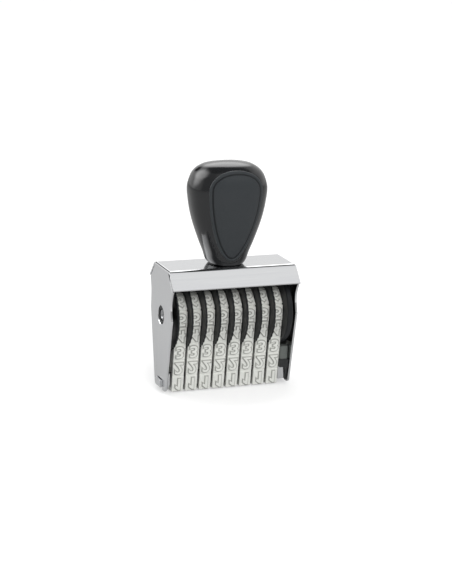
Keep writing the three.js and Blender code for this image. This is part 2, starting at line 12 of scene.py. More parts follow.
import bmesh
import bpy
import numpy as np
from mathutils import Matrix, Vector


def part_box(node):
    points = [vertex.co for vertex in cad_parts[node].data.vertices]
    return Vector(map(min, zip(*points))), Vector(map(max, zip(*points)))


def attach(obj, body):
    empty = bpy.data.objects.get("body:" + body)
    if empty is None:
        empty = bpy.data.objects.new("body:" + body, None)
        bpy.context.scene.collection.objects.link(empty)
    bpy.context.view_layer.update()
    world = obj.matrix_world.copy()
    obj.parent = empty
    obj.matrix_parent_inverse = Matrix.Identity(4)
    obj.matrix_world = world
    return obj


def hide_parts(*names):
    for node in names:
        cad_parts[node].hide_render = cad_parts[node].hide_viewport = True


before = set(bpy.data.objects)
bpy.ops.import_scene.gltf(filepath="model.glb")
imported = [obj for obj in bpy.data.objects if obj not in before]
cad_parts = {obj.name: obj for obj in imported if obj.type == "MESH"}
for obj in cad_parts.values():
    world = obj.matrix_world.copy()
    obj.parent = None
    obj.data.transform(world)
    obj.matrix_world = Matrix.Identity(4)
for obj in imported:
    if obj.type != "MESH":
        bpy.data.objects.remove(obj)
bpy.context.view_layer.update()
MM = 0.001
STAMP = "stamp_body"
print("construction model:", len(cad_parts), "nodes")

# %% [markdown]
# ## Sizes
#
# The shapes below are worked out in millimetres, as on a drawing, and become metres only when the mesh is
# made. The frame's corners are read from the construction model. What a drawing gives as a radius or a
# pitch is named once, beside the piece that it belongs to. Shapes that are joined or cut reach a little into
# or past each other, by OVERRUN, so that no gap or film is left between them.


# %% Sizes that come from the construction model
def box_mm(node):
    """Lowest and highest corner of a construction node, in millimetres."""
    return [np.array(corner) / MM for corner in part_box(node)]


FRAME_LOW, FRAME_HIGH = box_mm("frame")
HALF_WIDTH, FLAP_HALF_DEPTH, ROOF = FRAME_HIGH
PLATE_FOOT = FRAME_LOW[2]
SHEET = 1.0
AXLE_HEIGHT = 37.0
OVERRUN = 1.0
print("frame:", round(2 * HALF_WIDTH, 1), "mm wide, roof at", round(ROOF, 1), "mm")

# %% [markdown]
# ## From a grid of points to a piece
#
# A surface is an array of points in rows and columns. One helper joins neighbouring points with quads,
# and goes round where the shape is a ring. Rings that end in a tip are closed by a fan of triangles to a
# pole. A last helper makes the Blender object, lets it ride on its body of the construction model, and
# hides the construction node that it stands for.


# %% Grids and rings
def grid_faces(rows, columns, close_rows=False, close_columns=False):
    """Quads between the neighbouring points of a grid that is numbered row by row."""
    r = np.arange(rows if close_rows else rows - 1)
    c = np.arange(columns if close_columns else columns - 1)
    r, c = (a.ravel() for a in np.meshgrid(r, c, indexing="ij"))
    r2, c2 = (r + 1) % rows, (c + 1) % columns
    return np.stack([r * columns + c, r * columns + c2, r2 * columns + c2, r2 * columns + c], axis=1).tolist()


def fan_faces(ring, centre):
    """Triangles from each side of a ring of point numbers to one centre point."""
    ring = np.asarray(ring)
    return np.stack([ring, np.roll(ring, -1), np.full(len(ring), centre)], axis=1).tolist()


def capped(points, count, poles):
    """A shell of rings, each of count points, with its first and last ring closed to a pole each."""
    n = len(points)
    faces = grid_faces(n // count, count, close_columns=True)
    faces += fan_faces(np.arange(count), n) + fan_faces(np.arange(n - count, n), n + 1)
    return np.concatenate([points, poles]), faces


def arc(centre, radius, start, end, steps):
    """Points of a circular arc from the start angle to the end angle, in degrees, both included."""
    a = np.radians(np.linspace(start, end, steps))
    return np.stack([centre[0] + radius * np.cos(a), centre[1] + radius * np.sin(a)], axis=1)


def with_mirror(half):
    """Half of an outline, and back along its mirror image. The first coordinate changes its sign."""
    half = np.asarray(half, float)
    return np.concatenate([half, half[::-1] * [-1, 1]])


def joined(*shells):
    """Several (points, faces) shells as one, with the face numbers moved on."""
    points, faces, count = [], [], 0
    for shell_points, shell_faces in shells:
        shell_points = np.asarray(shell_points, float).reshape(-1, 3)
        points.append(shell_points)
        faces += [[int(i) + count for i in face] for face in shell_faces]
        count += len(shell_points)
    return np.concatenate(points), faces


# %% Turned rings and prisms
def unchanged(radius, angle):
    """No change of radius: a plain turned ring."""
    return 0 * radius * angle


def turned(profile, sides, radius_change=unchanged, poles=False):
    """A profile of (x, radius) pairs carried round the axle. radius_change adds to each point's radius by
    its angle. The profile is a loop, or it runs between two poles on the axle line."""
    profile = np.asarray(profile, float)
    a = np.linspace(0, 2 * math.pi, sides, endpoint=False)
    radius = profile[:, 1:] + radius_change(profile[:, 1:], a)
    xs = np.broadcast_to(profile[:, :1], radius.shape)
    points = np.stack([xs, radius * np.cos(a), AXLE_HEIGHT + radius * np.sin(a)], axis=2).reshape(-1, 3)
    if poles:
        return capped(points, sides, [[x, 0, AXLE_HEIGHT] for x in profile[[0, -1], 0]])
    return points, grid_faces(len(profile), sides, close_rows=True, close_columns=True)


def rounded_loop(corners, radii, steps=5):
    """A closed loop of (x, radius) corners, each replaced by an arc that touches both its sides."""
    corners = np.asarray(corners, float)
    points = []
    for before, corner, after, r in zip(np.roll(corners, 1, 0), corners, np.roll(corners, -1, 0), radii):
        if r == 0:
            points.append(corner[None])
            continue
        to_before, to_after = (v / np.linalg.norm(v) for v in (before - corner, after - corner))
        half = math.acos(np.clip(to_before @ to_after, -1, 1)) / 2
        middle = (to_before + to_after) / np.linalg.norm(to_before + to_after)
        centre = corner + middle * r / math.sin(half)
        first, last = corner + to_before * r / math.tan(half), corner + to_after * r / math.tan(half)
        t = np.linspace(0, 1, steps)[:, None]
        chord = first * (1 - t) + last * t - centre
        points.append(centre + chord / np.linalg.norm(chord, axis=1)[:, None] * r)
    return np.concatenate(points)


def prism(outline, start, end, axis=0):
    """A closed flat outline carried along an axis from start to end, with a flat cap at each end."""
    outline = np.asarray(outline, float)
    n = len(outline)
    points = np.concatenate([np.insert(outline, axis, at, axis=1) for at in (start, end)])
    return points, grid_faces(2, n, close_columns=True) + [list(range(n)), list(range(n, 2 * n))]


def rectangle(low, high):
    """The four corners of a flat outline."""
    return [(low[0], low[1]), (high[0], low[1]), (high[0], high[1]), (low[0], high[1])]


# %% Make a piece
SHARP_ANGLE = 50


def face_outwards(mesh, merge):
    """Merges points that lie closer together than merge, then turns all faces outwards."""
    bm = bmesh.new()
    bm.from_mesh(mesh)
    bmesh.ops.remove_doubles(bm, verts=bm.verts, dist=merge * MM)
    bmesh.ops.recalc_face_normals(bm, faces=bm.faces)
    bm.to_mesh(mesh)
    bm.free()


def in_scene(name, data):
    """An object in the scene from a mesh, a curve, a lamp or a camera."""
    obj = bpy.data.objects.new(name, data)
    bpy.context.scene.collection.objects.link(obj)
    return obj


def mesh_object(name, shell, merge=0.0001, rise=None):
    """A Blender object at the origin from a shell in millimetres, with a painted-shade key per point if
    given.
    """
    points, faces = shell
    mesh = bpy.data.meshes.new(name)
    mesh.from_pydata((np.asarray(points, float).reshape(-1, 3) * MM).tolist(), [], [list(f) for f in faces])
    if rise is not None:
        mesh.attributes.new("rise", "FLOAT", "POINT").data.foreach_set("value", np.asarray(rise, np.float32))
    face_outwards(mesh, merge)
    return in_scene(name, mesh)


def evaluated_mesh(obj):
    """A new mesh of the object as its modifiers or its curve make it."""
    bpy.context.view_layer.update()
    return bpy.data.meshes.new_from_object(obj.evaluated_get(bpy.context.evaluated_depsgraph_get()))


def piece(name, shell, material, body, slot, node, smooth=True, **details):
    """A finished piece: it has one material, rides on a body and stands for one construction node."""
    obj = mesh_object(name, shell, **details)
    obj.data.polygons.foreach_set("use_smooth", [smooth] * len(obj.data.polygons))
    obj.data.materials.append(material)
    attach(obj, body)
    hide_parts(node)
    return obj


def round_edges(obj, width, limit_method="ANGLE"):
    """Rounds the edges that are sharper than SHARP_ANGLE, or those that carry a bevel weight."""
    bevel = obj.modifiers.new("rounded_edges", "BEVEL")
    bevel.width = width * MM
    bevel.segments = 3
    bevel.limit_method = limit_method
    bevel.angle_limit = math.radians(SHARP_ANGLE)
    bevel.use_clamp_overlap = False
    bevel.harden_normals = True


# %% [markdown]
# ## Materials
#
# Each finish starts from what the real one is. Colours are written as sRGB hex values, and one function
# turns them into the linear values that a shader works in. One small function adds a node with its
# settings and its links, so a material reads as a short list of steps. A pattern is given by the size of
# its grain in millimetres. The finest grains are drawn coarser than they are, because the render couldn't
# show them.


# %% Material helpers
def linear(hex_colour):
    """The linear colour of an sRGB hex value: ((s + 0.055) / 1.055) ** 2.4, or s / 12.92 when dark."""
    s = np.array([int(hex_colour[i:i + 2], 16) / 255 for i in (0, 2, 4)])
    low, high = s / 12.92, ((s + 0.055) / 1.055) ** 2.4
    return (*np.where(s <= 0.04045, low, high).tolist(), 1.0)


def socket(sockets, name):
    """The socket of this name that is in use. Some nodes hold several, one for each kind of value."""
    return next((s for s in sockets if s.name == name and s.enabled), None)


def link(tree, node, **sources):
    """Feeds a node's inputs from sockets, or from nodes, which stand for their first output in use.
    Underscores stand for spaces."""
    for key, source in sources.items():
        if isinstance(source, bpy.types.Node):
            source = next(s for s in source.outputs if s.enabled)
        tree.links.new(source, socket(node.inputs, key.replace("_", " ")))


def add(tree, kind, settings=None, **links):
    """Adds a node. Settings name its properties or inputs, and links name the inputs that others feed."""
    node = tree.nodes.new(kind)
    for key, value in (settings or {}).items():
        if socket(node.inputs, key):
            socket(node.inputs, key).default_value = value
        else:
            setattr(node, key, value)
    link(tree, node, **links)
    return node


def new_material(name, **settings):
    """A material with one Principled shader. Underscores in the settings stand for spaces."""
    material = bpy.data.materials.new(name)
    material.use_nodes = True
    shader = material.node_tree.nodes["Principled BSDF"]
    for key, value in settings.items():
        shader.inputs[key.replace("_", " ")].default_value = value
    return material, material.node_tree, shader


def speckle(tree, grain, detail=2.0, roughness=0.5):
    """A mottled pattern of 0 to 1 in the piece's own space. Its grain is given in mm along x, y and z."""
    place = add(tree, "ShaderNodeTexCoord").outputs["Object"]
    scaled = add(tree, "ShaderNodeMapping", {"Scale": tuple(1 / (size * MM) for size in grain)}, Vector=place)
    settings = {"Scale": 1.0, "Detail": detail, "Roughness": roughness}
    return add(tree, "ShaderNodeTexNoise", settings, Vector=scaled)


def two_colours(tree, share, low, high, low_at=0.3, high_at=0.7):
    """A colour that goes from low to high as share goes from low_at to high_at. A speckle keeps mostly
    to the range from 0.3 to 0.7."""
    factor = add(tree, "ShaderNodeMapRange", {"From Min": low_at, "From Max": high_at}, Value=share)
    colours = {"data_type": "RGBA", "A": linear(low), "B": linear(high)}
    return add(tree, "ShaderNodeMix", colours, Factor=factor)


# %% One speckle for colour, roughness and height
def textured(name, grain, depth, detail=2.0, mix=0.5, colours=None, roughness=None, **settings):
    """A material with one speckle. It stands out by depth millimetres, and colour and roughness may follow
    it between two values each. detail is how many finer patterns it has, and mix is their strength.
    Returns the material, its node tree, its shader and the speckle's colour."""
    material, tree, shader = new_material(name, **settings)
    pattern = speckle(tree, grain, detail, mix)
    link(tree, shader, Normal=add(tree, "ShaderNodeBump", {"Distance": depth * MM}, Height=pattern))
    if roughness:
        limits = {"To Min": roughness[0], "To Max": roughness[1]}
        link(tree, shader, Roughness=add(tree, "ShaderNodeMapRange", limits, Value=pattern))
    colour = two_colours(tree, pattern, *colours) if colours else None
    if colour:
        link(tree, shader, Base_Color=colour)
    return material, tree, shader, colour


# %% Chromed steel of the frame and bridge
# Chrome plate over rolled sheet: a mirror with a faint grain. The grain runs along x on the roof and flaps
# and up and down on the side plates, as the sheet was rolled before it was folded.
CHROME = textured("chromed_steel", grain=(40, 1.1, 40), depth=0.001, detail=3.0, mix=0.6,
                  colours=("D6D7D9", "DBDCDD"), roughness=(0.06, 0.12), Metallic=1.0)[0]

# %% Ground steel of the axle, screw and washer
# Ground bar: a darker metal than chrome, with a fine grain that scatters its highlight.
STEEL = textured("ground_steel", grain=(1.1,) * 3, depth=0.0005, roughness=(0.25, 0.42),
                 Base_Color=linear("A9AAAC"), Metallic=1.0)[0]

# %% Turned brass of the threaded insert
# Turned brass: a warm metal with fine tool marks round the z axis.
BRASS = textured("turned_brass", grain=(16, 16, 0.3), depth=0.01, Base_Color=linear("C9A85C"), Metallic=1.0,
                 Roughness=0.3)[0]

# %% Black nylon of the thumb wheels
# Moulded nylon: near black and satin, with the faint mottle that a spark-eroded mould leaves.
NYLON = textured("black_nylon", grain=(0.4,) * 3, depth=0.01, roughness=(0.32, 0.5),
                 Base_Color=linear("17191B"), Specular_IOR_Level=0.3)[0]

# %% Glossy plastic of the handle
# Polished ABS: black under a clear gloss, with the faint orange peel of a polished mould.
GLOSS = textured("glossy_plastic", grain=(4,) * 3, depth=0.01, detail=1.0, Base_Color=linear("131416"),
                 Roughness=0.14, IOR=1.52)[0]


# %% Black nylon of the end guide, with painted light on its posts
def guide_nylon():
    """The same moulded nylon on the end guide. Its foot is black, and above it, from 12.9 to 13.6 mm up, it
    turns to a dull grey green on the posts: painted light, not the nylon's own colour."""
    material, tree, shader, _ = textured("guide_nylon", grain=(0.4,) * 3, depth=0.01,
                                         IOR=1.53, Roughness=0.38)
    place = add(tree, "ShaderNodeTexCoord").outputs["Object"]
    height = add(tree, "ShaderNodeSeparateXYZ", Vector=place).outputs["Z"]
    link(tree, shader, Base_Color=two_colours(tree, height, "1C1D1E", "555956", 12.9 * MM, 13.6 * MM))
    return material


# The posts' grey green is painted light.
GUIDE_NYLON_PAINTED_LIGHT = guide_nylon()


# %% Matt plastic of the inlay
def matt_inlay():
    """Moulded ABS with an etched grain: slate grey and matt, so that the grip doesn't shine. In its groove,
    where the attribute is 1, shade is painted in a darker colour."""
    material, tree, shader, plain = textured("matt_inlay", grain=(0.286,) * 3, depth=0.02, detail=3.0,
                                             colours=("23272A", "282C2F"), Roughness=0.55, IOR=1.5)
    # The groove's darker colour is painted shade.
    groove = add(tree, "ShaderNodeAttribute", {"attribute_name": "rise"}).outputs["Fac"]
    link(tree, shader, Base_Color=add(tree, "ShaderNodeMix", {"data_type": "RGBA", "B": linear("16181A")},
                                      A=plain, Factor=groove))
    return material


MATT = matt_inlay()


# %% Rubber of the number bands
def band_rubber():
    """Moulded rubber: light warm grey and matt. Where the attribute is between 0 and 1, on the sides of the
    figures and faintly along a block's middle, shade is painted in a darker grey."""
    material, tree, shader, rubber_colour = textured("band_rubber", grain=(2,) * 3, depth=0.02, detail=4.0, mix=0.55,
                                             colours=("CBCCC7", "D4D5D0"), Roughness=0.7, IOR=1.52)
    rise = add(tree, "ShaderNodeAttribute", {"attribute_name": "rise"}).outputs["Fac"]
    # The darker grey 7A7B76 is painted shade; the rubber keeps its own colour below 0.02 and above 0.95.
    unshaded_share = add(tree, "ShaderNodeValToRGB", Fac=rise)
    first, last = unshaded_share.color_ramp.elements
    first.position, last.position = 0.02, 0.95
    for position in (0.08, 0.8):
        unshaded_share.color_ramp.elements.new(position).color = (0, 0, 0, 1)
    first.color = last.color = (1, 1, 1, 1)
    link(tree, shader, Base_Color=add(tree, "ShaderNodeMix", {"data_type": "RGBA", "A": linear("7A7B76")},
                                      B=rubber_colour, Factor=unshaded_share))
    return material


RUBBER = band_rubber()
print("materials:", len(bpy.data.materials))

# %% [markdown]
# ## The fixing inside the handle
#
# A screw with its washer holds the handle down from under the roof, and turns in a threaded brass insert.
# Nobody sees more than the screw head, so these parts keep their construction shape and only take a
# finish.

# %% Dress the fixing
for node, material in {"handle_screw": STEEL, "handle_washer": STEEL, "handle_insert": BRASS}.items():
    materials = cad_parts[node].data.materials
    materials.clear()
    materials.append(material)

# %% [markdown]
# ## The folded frame
#
# The real frame is one sheet of steel. Its roof and two slanting flaps are one strip, bent along x, and
# its side plates come down from a tight fold at each end of the roof. The flaps reach over the plates'
# slanted edges, with a fine slit between. A block with its middle cut out would be quicker, but would
# lose the folds and slits. So the strip and the plates are open surfaces that share their points along
# the folds. They are merged, and then get the sheet's thickness inwards. A bevel rounds the cut edges,
# and that thin bright line is what makes it look like sheet metal. Weighted normals keep the flat faces
# flat beside it.

# %% Frame sizes
SIDE_FOLD = 1.2
ROOF_HALF_DEPTH = 10.95
FLAP_RUN, FLAP_DROP, FLAP_SLIT = 6.75, 7.5, 0.6
FLAP_BEND, FLAP_LIP = 2.6, 1.2
FLAP_LOW = ROOF - FLAP_DROP
FLAP_LENGTH = math.hypot(FLAP_RUN, FLAP_DROP)
FLAP_ANGLE = math.atan2(FLAP_DROP, FLAP_RUN)
ROOF_FLAT = ROOF_HALF_DEPTH - FLAP_BEND * math.tan(FLAP_ANGLE / 2)
SEAM_HALF_DEPTH = ROOF_HALF_DEPTH + SIDE_FOLD * FLAP_RUN / FLAP_DROP
UNDER_FLAP = SHEET + FLAP_SLIT
FOOT_HALF_DEPTH, FOOT_RADIUS = 7.7, 1.6
SHOULDER_HALF_DEPTH, SHOULDER_HEIGHT = 15.3, AXLE_HEIGHT + 0.3
FRONT_WAIST, REAR_WAIST, WAIST_HEIGHT = 13.8, 15.0, AXLE_HEIGHT + 7.5
NOTCH_TOP = FLAP_LOW - UNDER_FLAP * FLAP_RUN / FLAP_LENGTH
PLATE_TOP = ROOF - SIDE_FOLD
AXLE_HOLE, HOLE_CHAMFER = 4.4, 0.25
TAB_SLOT_HALF_DEPTH, TAB_SLOT_TOP = 3.9, 6.3


def slit_half_depth(z):
    """Half-depth of the plates' slanted edge at heights z: parallel to the flap, with a slit between."""
    return FLAP_HALF_DEPTH - ((z - FLAP_LOW) * FLAP_RUN + UNDER_FLAP * FLAP_LENGTH) / FLAP_DROP


# %% The strip of roof and flaps
def strip_profile():
    """The strip in (y, z), front to back: a lip bent upright, the slant, a bend, the flat roof, and the
    same mirrored. Each bend is an arc, with a point where the side plate's top row ends."""
    turn = math.degrees(FLAP_ANGLE)
    flat_y = np.linspace(0, ROOF_FLAT, 9)[:-1]
    flat = np.column_stack([flat_y, np.full(len(flat_y), ROOF)])
    plate_turn = math.degrees(math.asin((slit_half_depth(PLATE_TOP) - ROOF_FLAT) / FLAP_BEND))
    centre = (ROOF_FLAT, ROOF - FLAP_BEND)
    bend = np.concatenate([arc(centre, FLAP_BEND, 90, 90 - plate_turn, 3),
                           arc(centre, FLAP_BEND, 90 - plate_turn, 90 - turn, 9)[1:]])
    lip_start = FLAP_HALF_DEPTH - FLAP_LIP * (1 - math.sin(FLAP_ANGLE))
    along = np.array([math.cos(FLAP_ANGLE), -math.sin(FLAP_ANGLE)])
    seam, length = ((y - bend[-1, 0]) / along[0] for y in (SEAM_HALF_DEPTH, lip_start))
    slant = bend[-1] + along * np.linspace(seam, length, 8)[:, None]
    centre = slant[-1] - FLAP_LIP * np.array([math.sin(FLAP_ANGLE), math.cos(FLAP_ANGLE)])
    lip = arc(centre, FLAP_LIP, 90 - turn, 0, 5)[1:]
    half = np.concatenate([flat, bend, slant, lip])
    return np.concatenate([half[:0:-1] * [-1, 1], half])


def strip_surface():
    """The profile carried along x. At each end the roof sinks along a quarter circle, the side fold."""
    profile = strip_profile()
    fold_start = HALF_WIDTH - SIDE_FOLD
    turn = np.radians(np.linspace(0, 90, 8)[1:])
    end, sink = fold_start + SIDE_FOLD * np.sin(turn), SIDE_FOLD * (1 - np.cos(turn))
    middle = np.linspace(-fold_start, fold_start, 25)
    x = np.concatenate([-end[::-1], middle, end])
    sunk = ROOF - np.concatenate([sink[::-1], 0 * middle, sink])
    xs, ys = np.meshgrid(x, profile[:, 0], indexing="ij")
    zs = np.minimum(profile[:, 1][None, :], sunk[:, None])
    return np.stack([xs, ys, zs], axis=2)


# %% The side plates
def plate_half_depth(z, waist):
    """Half-depth of a side plate at heights z: foot radius, taper, a notch of two parabolas that meet in
    its waist, and the slanted top under the flap."""
    taper = (z - PLATE_FOOT) / (SHOULDER_HEIGHT - PLATE_FOOT)
    depth = FOOT_HALF_DEPTH + taper * (SHOULDER_HALF_DEPTH - FOOT_HALF_DEPTH)
    into_foot = np.clip(PLATE_FOOT + FOOT_RADIUS - z, 0, FOOT_RADIUS)
    depth = depth - (FOOT_RADIUS - np.sqrt(FOOT_RADIUS ** 2 - into_foot ** 2))
    below = np.clip((WAIST_HEIGHT - z) / (WAIST_HEIGHT - SHOULDER_HEIGHT), 0, 1)
    above = np.clip((z - WAIST_HEIGHT) / (NOTCH_TOP - WAIST_HEIGHT), 0, 1)
    notch = waist + (SHOULDER_HALF_DEPTH - waist) * below ** 2
    notch = notch + (slit_half_depth(NOTCH_TOP) - waist) * above ** 2
    depth = np.where(z > SHOULDER_HEIGHT, notch, depth)
    return np.where(z > NOTCH_TOP, slit_half_depth(z), depth)


def plate_heights():
    """The plate's rows, from the fold down to the foot, closer together where its outline curves."""
    z = [PLATE_TOP]
    rows = {NOTCH_TOP: 7, WAIST_HEIGHT: 12, SHOULDER_HEIGHT: 12, PLATE_FOOT + FOOT_RADIUS: 14}
    for mark, count in rows.items():
        z.extend(np.linspace(z[-1], mark, count + 1)[1:])
    z.extend(PLATE_FOOT + FOOT_RADIUS * (1 - np.sin(np.linspace(0, math.pi / 2, 6)[1:])))
    return np.array(z)


def plate_surface(side):
    """Rows down the plate, each spread between its front and back edge. Row 0 is the end of the fold."""
    z = plate_heights()
    front, back = -plate_half_depth(z, FRONT_WAIST), plate_half_depth(z, REAR_WAIST)
    seam = strip_profile()[:, 0]
    seam = seam[np.abs(seam) <= slit_half_depth(PLATE_TOP) + 1e-6]
    share = (seam - front[0]) / (back[0] - front[0])
    ys = front[:, None] + share * (back - front)[:, None]
    xs, zs = np.full_like(ys, side * HALF_WIDTH), np.broadcast_to(z[:, None], ys.shape)
    return np.stack([xs, ys, zs], axis=2)


# %% Cut holes and mark the edges to round
def cut(obj, *tools):
    """Takes the tools away from the object with its modifiers, and keeps the result as its mesh."""
    for number, tool in enumerate(tools):
        modifier = obj.modifiers.new(f"cut_{number}", "BOOLEAN")
        modifier.operation = "DIFFERENCE"
        modifier.solver = "EXACT"
        modifier.object = tool
    before = obj.data
    obj.data = evaluated_mesh(obj)
    obj.modifiers.clear()
    bpy.data.meshes.remove(before)
    for tool in tools:
        bpy.data.objects.remove(tool)


def mark_edges(obj, seam_gap):
    """Merges the flat faces, then marks the sharp edges to be rounded. The points where the flaps part
    from the plates are left sharp, seam_gap all round, because nothing can be rounded where three bends
    meet."""
    bm = bmesh.new()
    bm.from_mesh(obj.data)
    inner = [vert for vert in bm.verts if max(edge.calc_face_angle(0) for edge in vert.link_edges) < 0.01]
    bmesh.ops.dissolve_limit(bm, angle_limit=math.radians(0.5), verts=inner, edges=bm.edges)
    weights = bm.edges.layers.float.new("bevel_weight_edge")
    seam = np.array([HALF_WIDTH, slit_half_depth(PLATE_TOP), PLATE_TOP]) * MM
    for edge in bm.edges:
        sharp = edge.calc_face_angle(0) > math.radians(SHARP_ANGLE)
        far = all(np.linalg.norm(np.abs(vert.co) - seam) > seam_gap * MM for vert in edge.verts)
        edge[weights] = float(sharp and far)
        edge.smooth = not sharp
    bm.to_mesh(obj.data)
    bm.free()


# %% Put the frame together
strip = strip_surface()
plates = [plate_surface(side) for side in (-1, 1)]
frame_shell = joined(*[(surface, grid_faces(*surface.shape[:2])) for surface in (strip, *plates)])
frame_piece = piece("folded_frame", frame_shell, CHROME, STAMP, "chromed_steel", "frame", merge=0.001)
sheet = frame_piece.modifiers.new("sheet_thickness", "SOLIDIFY")
sheet.thickness = SHEET * MM
sheet.offset = -1
reach = HALF_WIDTH + OVERRUN
hole = with_mirror([(-reach, AXLE_HOLE + HOLE_CHAMFER), (-HALF_WIDTH, AXLE_HOLE + HOLE_CHAMFER),
                    (-HALF_WIDTH + HOLE_CHAMFER, AXLE_HOLE)])
# The slot's tool runs from right to left: in this order the cut leaves no folded face in the plates.
slot = prism(rectangle((-TAB_SLOT_HALF_DEPTH, 0), (TAB_SLOT_HALF_DEPTH, TAB_SLOT_TOP)), reach, -reach)
cut(frame_piece, mesh_object("hole_tool", turned(hole, 64, poles=True)), mesh_object("slot_tool", slot))
mark_edges(frame_piece, seam_gap=3.0)
round_edges(frame_piece, 0.2, "WEIGHT")
frame_piece.modifiers.new("flat_faces_stay_flat", "WEIGHTED_NORMAL").keep_sharp = True
print("frame:", len(frame_piece.data.polygons), "faces")

# %% [markdown]
# ## The bridge and the end guide
#
# A bar lies inside the lower end of all the band loops and backs the figures when they are pressed on
# paper. Its ears stand against the side plates, and a tab on each ear goes through the plate. At its
# right end it has a collar, and a narrow neck leads to the ear. A moulded yoke straddles the neck, and
# its two posts keep the last band in its lane. All of these could be sculpted from boxes. Outlines
# carried in a straight line are quicker to read and to change, and a bevel rounds their edges.

# %% Bridge sizes
BRIDGE_HALF_DEPTH, BRIDGE_BOTTOM, BRIDGE_TOP = 4.5, 2.3, 9.9
BRIDGE_FOOT_RADIUS, BRIDGE_TOP_RADIUS = 1.5, 0.8
EAR_SLIP, EAR_THICKNESS, EAR_TOP, EAR_INSET = 0.1, 0.8, 10.6, 0.2
EAR_OUTER = HALF_WIDTH - SHEET - EAR_SLIP
TAB_HALF_DEPTH, TAB_BOTTOM, TAB_TOP, TAB_REACH = 3.6, 2.6, 6.0, 1.2
NECK_HALF_DEPTH, NECK_BOTTOM, NECK_TOP = 2.6, 3.2, 7.0
GUIDE_LOW, GUIDE_HIGH = box_mm("end_guide")
COLLAR_LEFT, COLLAR_RIGHT, COLLAR_HALF_DEPTH, COLLAR_BOTTOM, COLLAR_TOP = GUIDE_LOW[0], 29.2, 6.2, 2.8, 9.0
GUIDE_RIGHT, GUIDE_LEG_LEFT = 30.3, 29.3
GUIDE_LEG_HALF_DEPTH, GUIDE_SLOT_HALF_DEPTH, GUIDE_SLOT_TOP = 6.8, 6.1, 9.0
GUIDE_FOOT_BOTTOM, GUIDE_LEG_TOP, GUIDE_FOOT_TOP, GUIDE_INSIDE = 9.1, 9.2, 13.0, 5.5
GUIDE_POST_HALF_DEPTH, GUIDE_POST_RADIUS = 8.4, 1.2
RIGHT_EAR_HALF_DEPTH = 5.9


# %% Bridge shapes
def bar_outline():
    """The bar's section: a box with large lower and small upper corner radii."""
    low, high = BRIDGE_HALF_DEPTH - BRIDGE_FOOT_RADIUS, BRIDGE_HALF_DEPTH - BRIDGE_TOP_RADIUS
    foot = arc((low, BRIDGE_BOTTOM + BRIDGE_FOOT_RADIUS), BRIDGE_FOOT_RADIUS, -90, 0, 9)
    return with_mirror([*foot, *arc((high, BRIDGE_TOP - BRIDGE_TOP_RADIUS), BRIDGE_TOP_RADIUS, 0, 90, 7)])


def ear_outline(half_depth=math.inf):
    """The ear: the side plate's own outline, kept a little inside it, and no wider than half_depth."""
    z = np.array([BRIDGE_BOTTOM + BRIDGE_FOOT_RADIUS, EAR_TOP])
    y = np.minimum(plate_half_depth(z, REAR_WAIST) - EAR_INSET, half_depth)
    corner = arc((y[0] - BRIDGE_FOOT_RADIUS, z[0]), BRIDGE_FOOT_RADIUS, -90, 0, 7)
    return with_mirror([*corner, [y[1], z[1]]])


# %% Make the bridge
ear_middle = EAR_OUTER - EAR_THICKNESS / 2
neck = rectangle((-NECK_HALF_DEPTH, NECK_BOTTOM), (NECK_HALF_DEPTH, NECK_TOP))
tab = rectangle((-TAB_HALF_DEPTH, TAB_BOTTOM), (TAB_HALF_DEPTH, TAB_TOP))
collar = rectangle((-COLLAR_HALF_DEPTH, COLLAR_BOTTOM), (COLLAR_HALF_DEPTH, COLLAR_TOP))
bridge_shells = [prism(bar_outline(), -ear_middle, COLLAR_RIGHT - OVERRUN / 2),
                 prism(collar, COLLAR_LEFT, COLLAR_RIGHT), prism(neck, COLLAR_RIGHT - OVERRUN, ear_middle)]
for side, half_depth in ((-1, math.inf), (1, RIGHT_EAR_HALF_DEPTH)):
    bridge_shells.append(prism(ear_outline(half_depth), side * (EAR_OUTER - EAR_THICKNESS), side * EAR_OUTER))
    bridge_shells.append(prism(tab, side * ear_middle, side * (HALF_WIDTH + TAB_REACH)))
bridge = piece("band_bridge", joined(*bridge_shells), CHROME, STAMP, "chromed_steel", "bridge")
round_edges(bridge, 0.2)
print("bridge:", len(bridge.data.polygons), "faces")


# %% Make the end guide
def guide_leg_outline():
    """The leg in (y, z): a trapezium that widens upwards, open below round the bridge's neck and ear."""
    return with_mirror([(GUIDE_SLOT_HALF_DEPTH, GUIDE_SLOT_TOP), (GUIDE_SLOT_HALF_DEPTH, GUIDE_LOW[2]),
                        (GUIDE_LEG_HALF_DEPTH, GUIDE_LOW[2]), (GUIDE_POST_HALF_DEPTH, GUIDE_LEG_TOP)])


def guide_post_outline(side):
    """A post in (x, y): its two outer corners are quarter circles."""
    radius, left, right = GUIDE_POST_RADIUS, GUIDE_LOW[0], GUIDE_RIGHT
    centre = GUIDE_POST_HALF_DEPTH - radius
    nose = np.concatenate([[[right, GUIDE_INSIDE]], arc((right - radius, centre), radius, 0, 90, 12),
                           arc((left + radius, centre), radius, 90, 180, 12), [[left, GUIDE_INSIDE]]])
    return nose * [1, side]


guide_shells = [prism(guide_leg_outline(), GUIDE_LEG_LEFT, GUIDE_RIGHT)]
for side in (-1, 1):
    foot = rectangle((GUIDE_LOW[0], side * GUIDE_INSIDE), (GUIDE_RIGHT, side * GUIDE_HIGH[1]))
    guide_shells.append(prism(foot, GUIDE_FOOT_BOTTOM, GUIDE_FOOT_TOP, axis=2))
    guide_shells.append(prism(guide_post_outline(side), GUIDE_FOOT_TOP - OVERRUN, GUIDE_HIGH[2], axis=2))
guide = piece("end_guide_yoke", joined(*guide_shells), GUIDE_NYLON_PAINTED_LIGHT, STAMP, "wheel_plastic", "end_guide")
round_edges(guide, 0.25)
print("end guide:", len(guide.data.polygons), "faces")

# %% [markdown]
# ## Axle, bushes and guard disc
#
# These are turned parts. A profile of (x, radius) pairs is carried round the axle line, which is how a
# lathe makes them. A bevel could round the corners afterwards, but they are few, so they are rounded in
# the profile.


# %% Make the turned parts
AXLE_RADIUS, AXLE_RECESS = 2.5, 0.6
AXLE_HALF = HALF_WIDTH - AXLE_RECESS
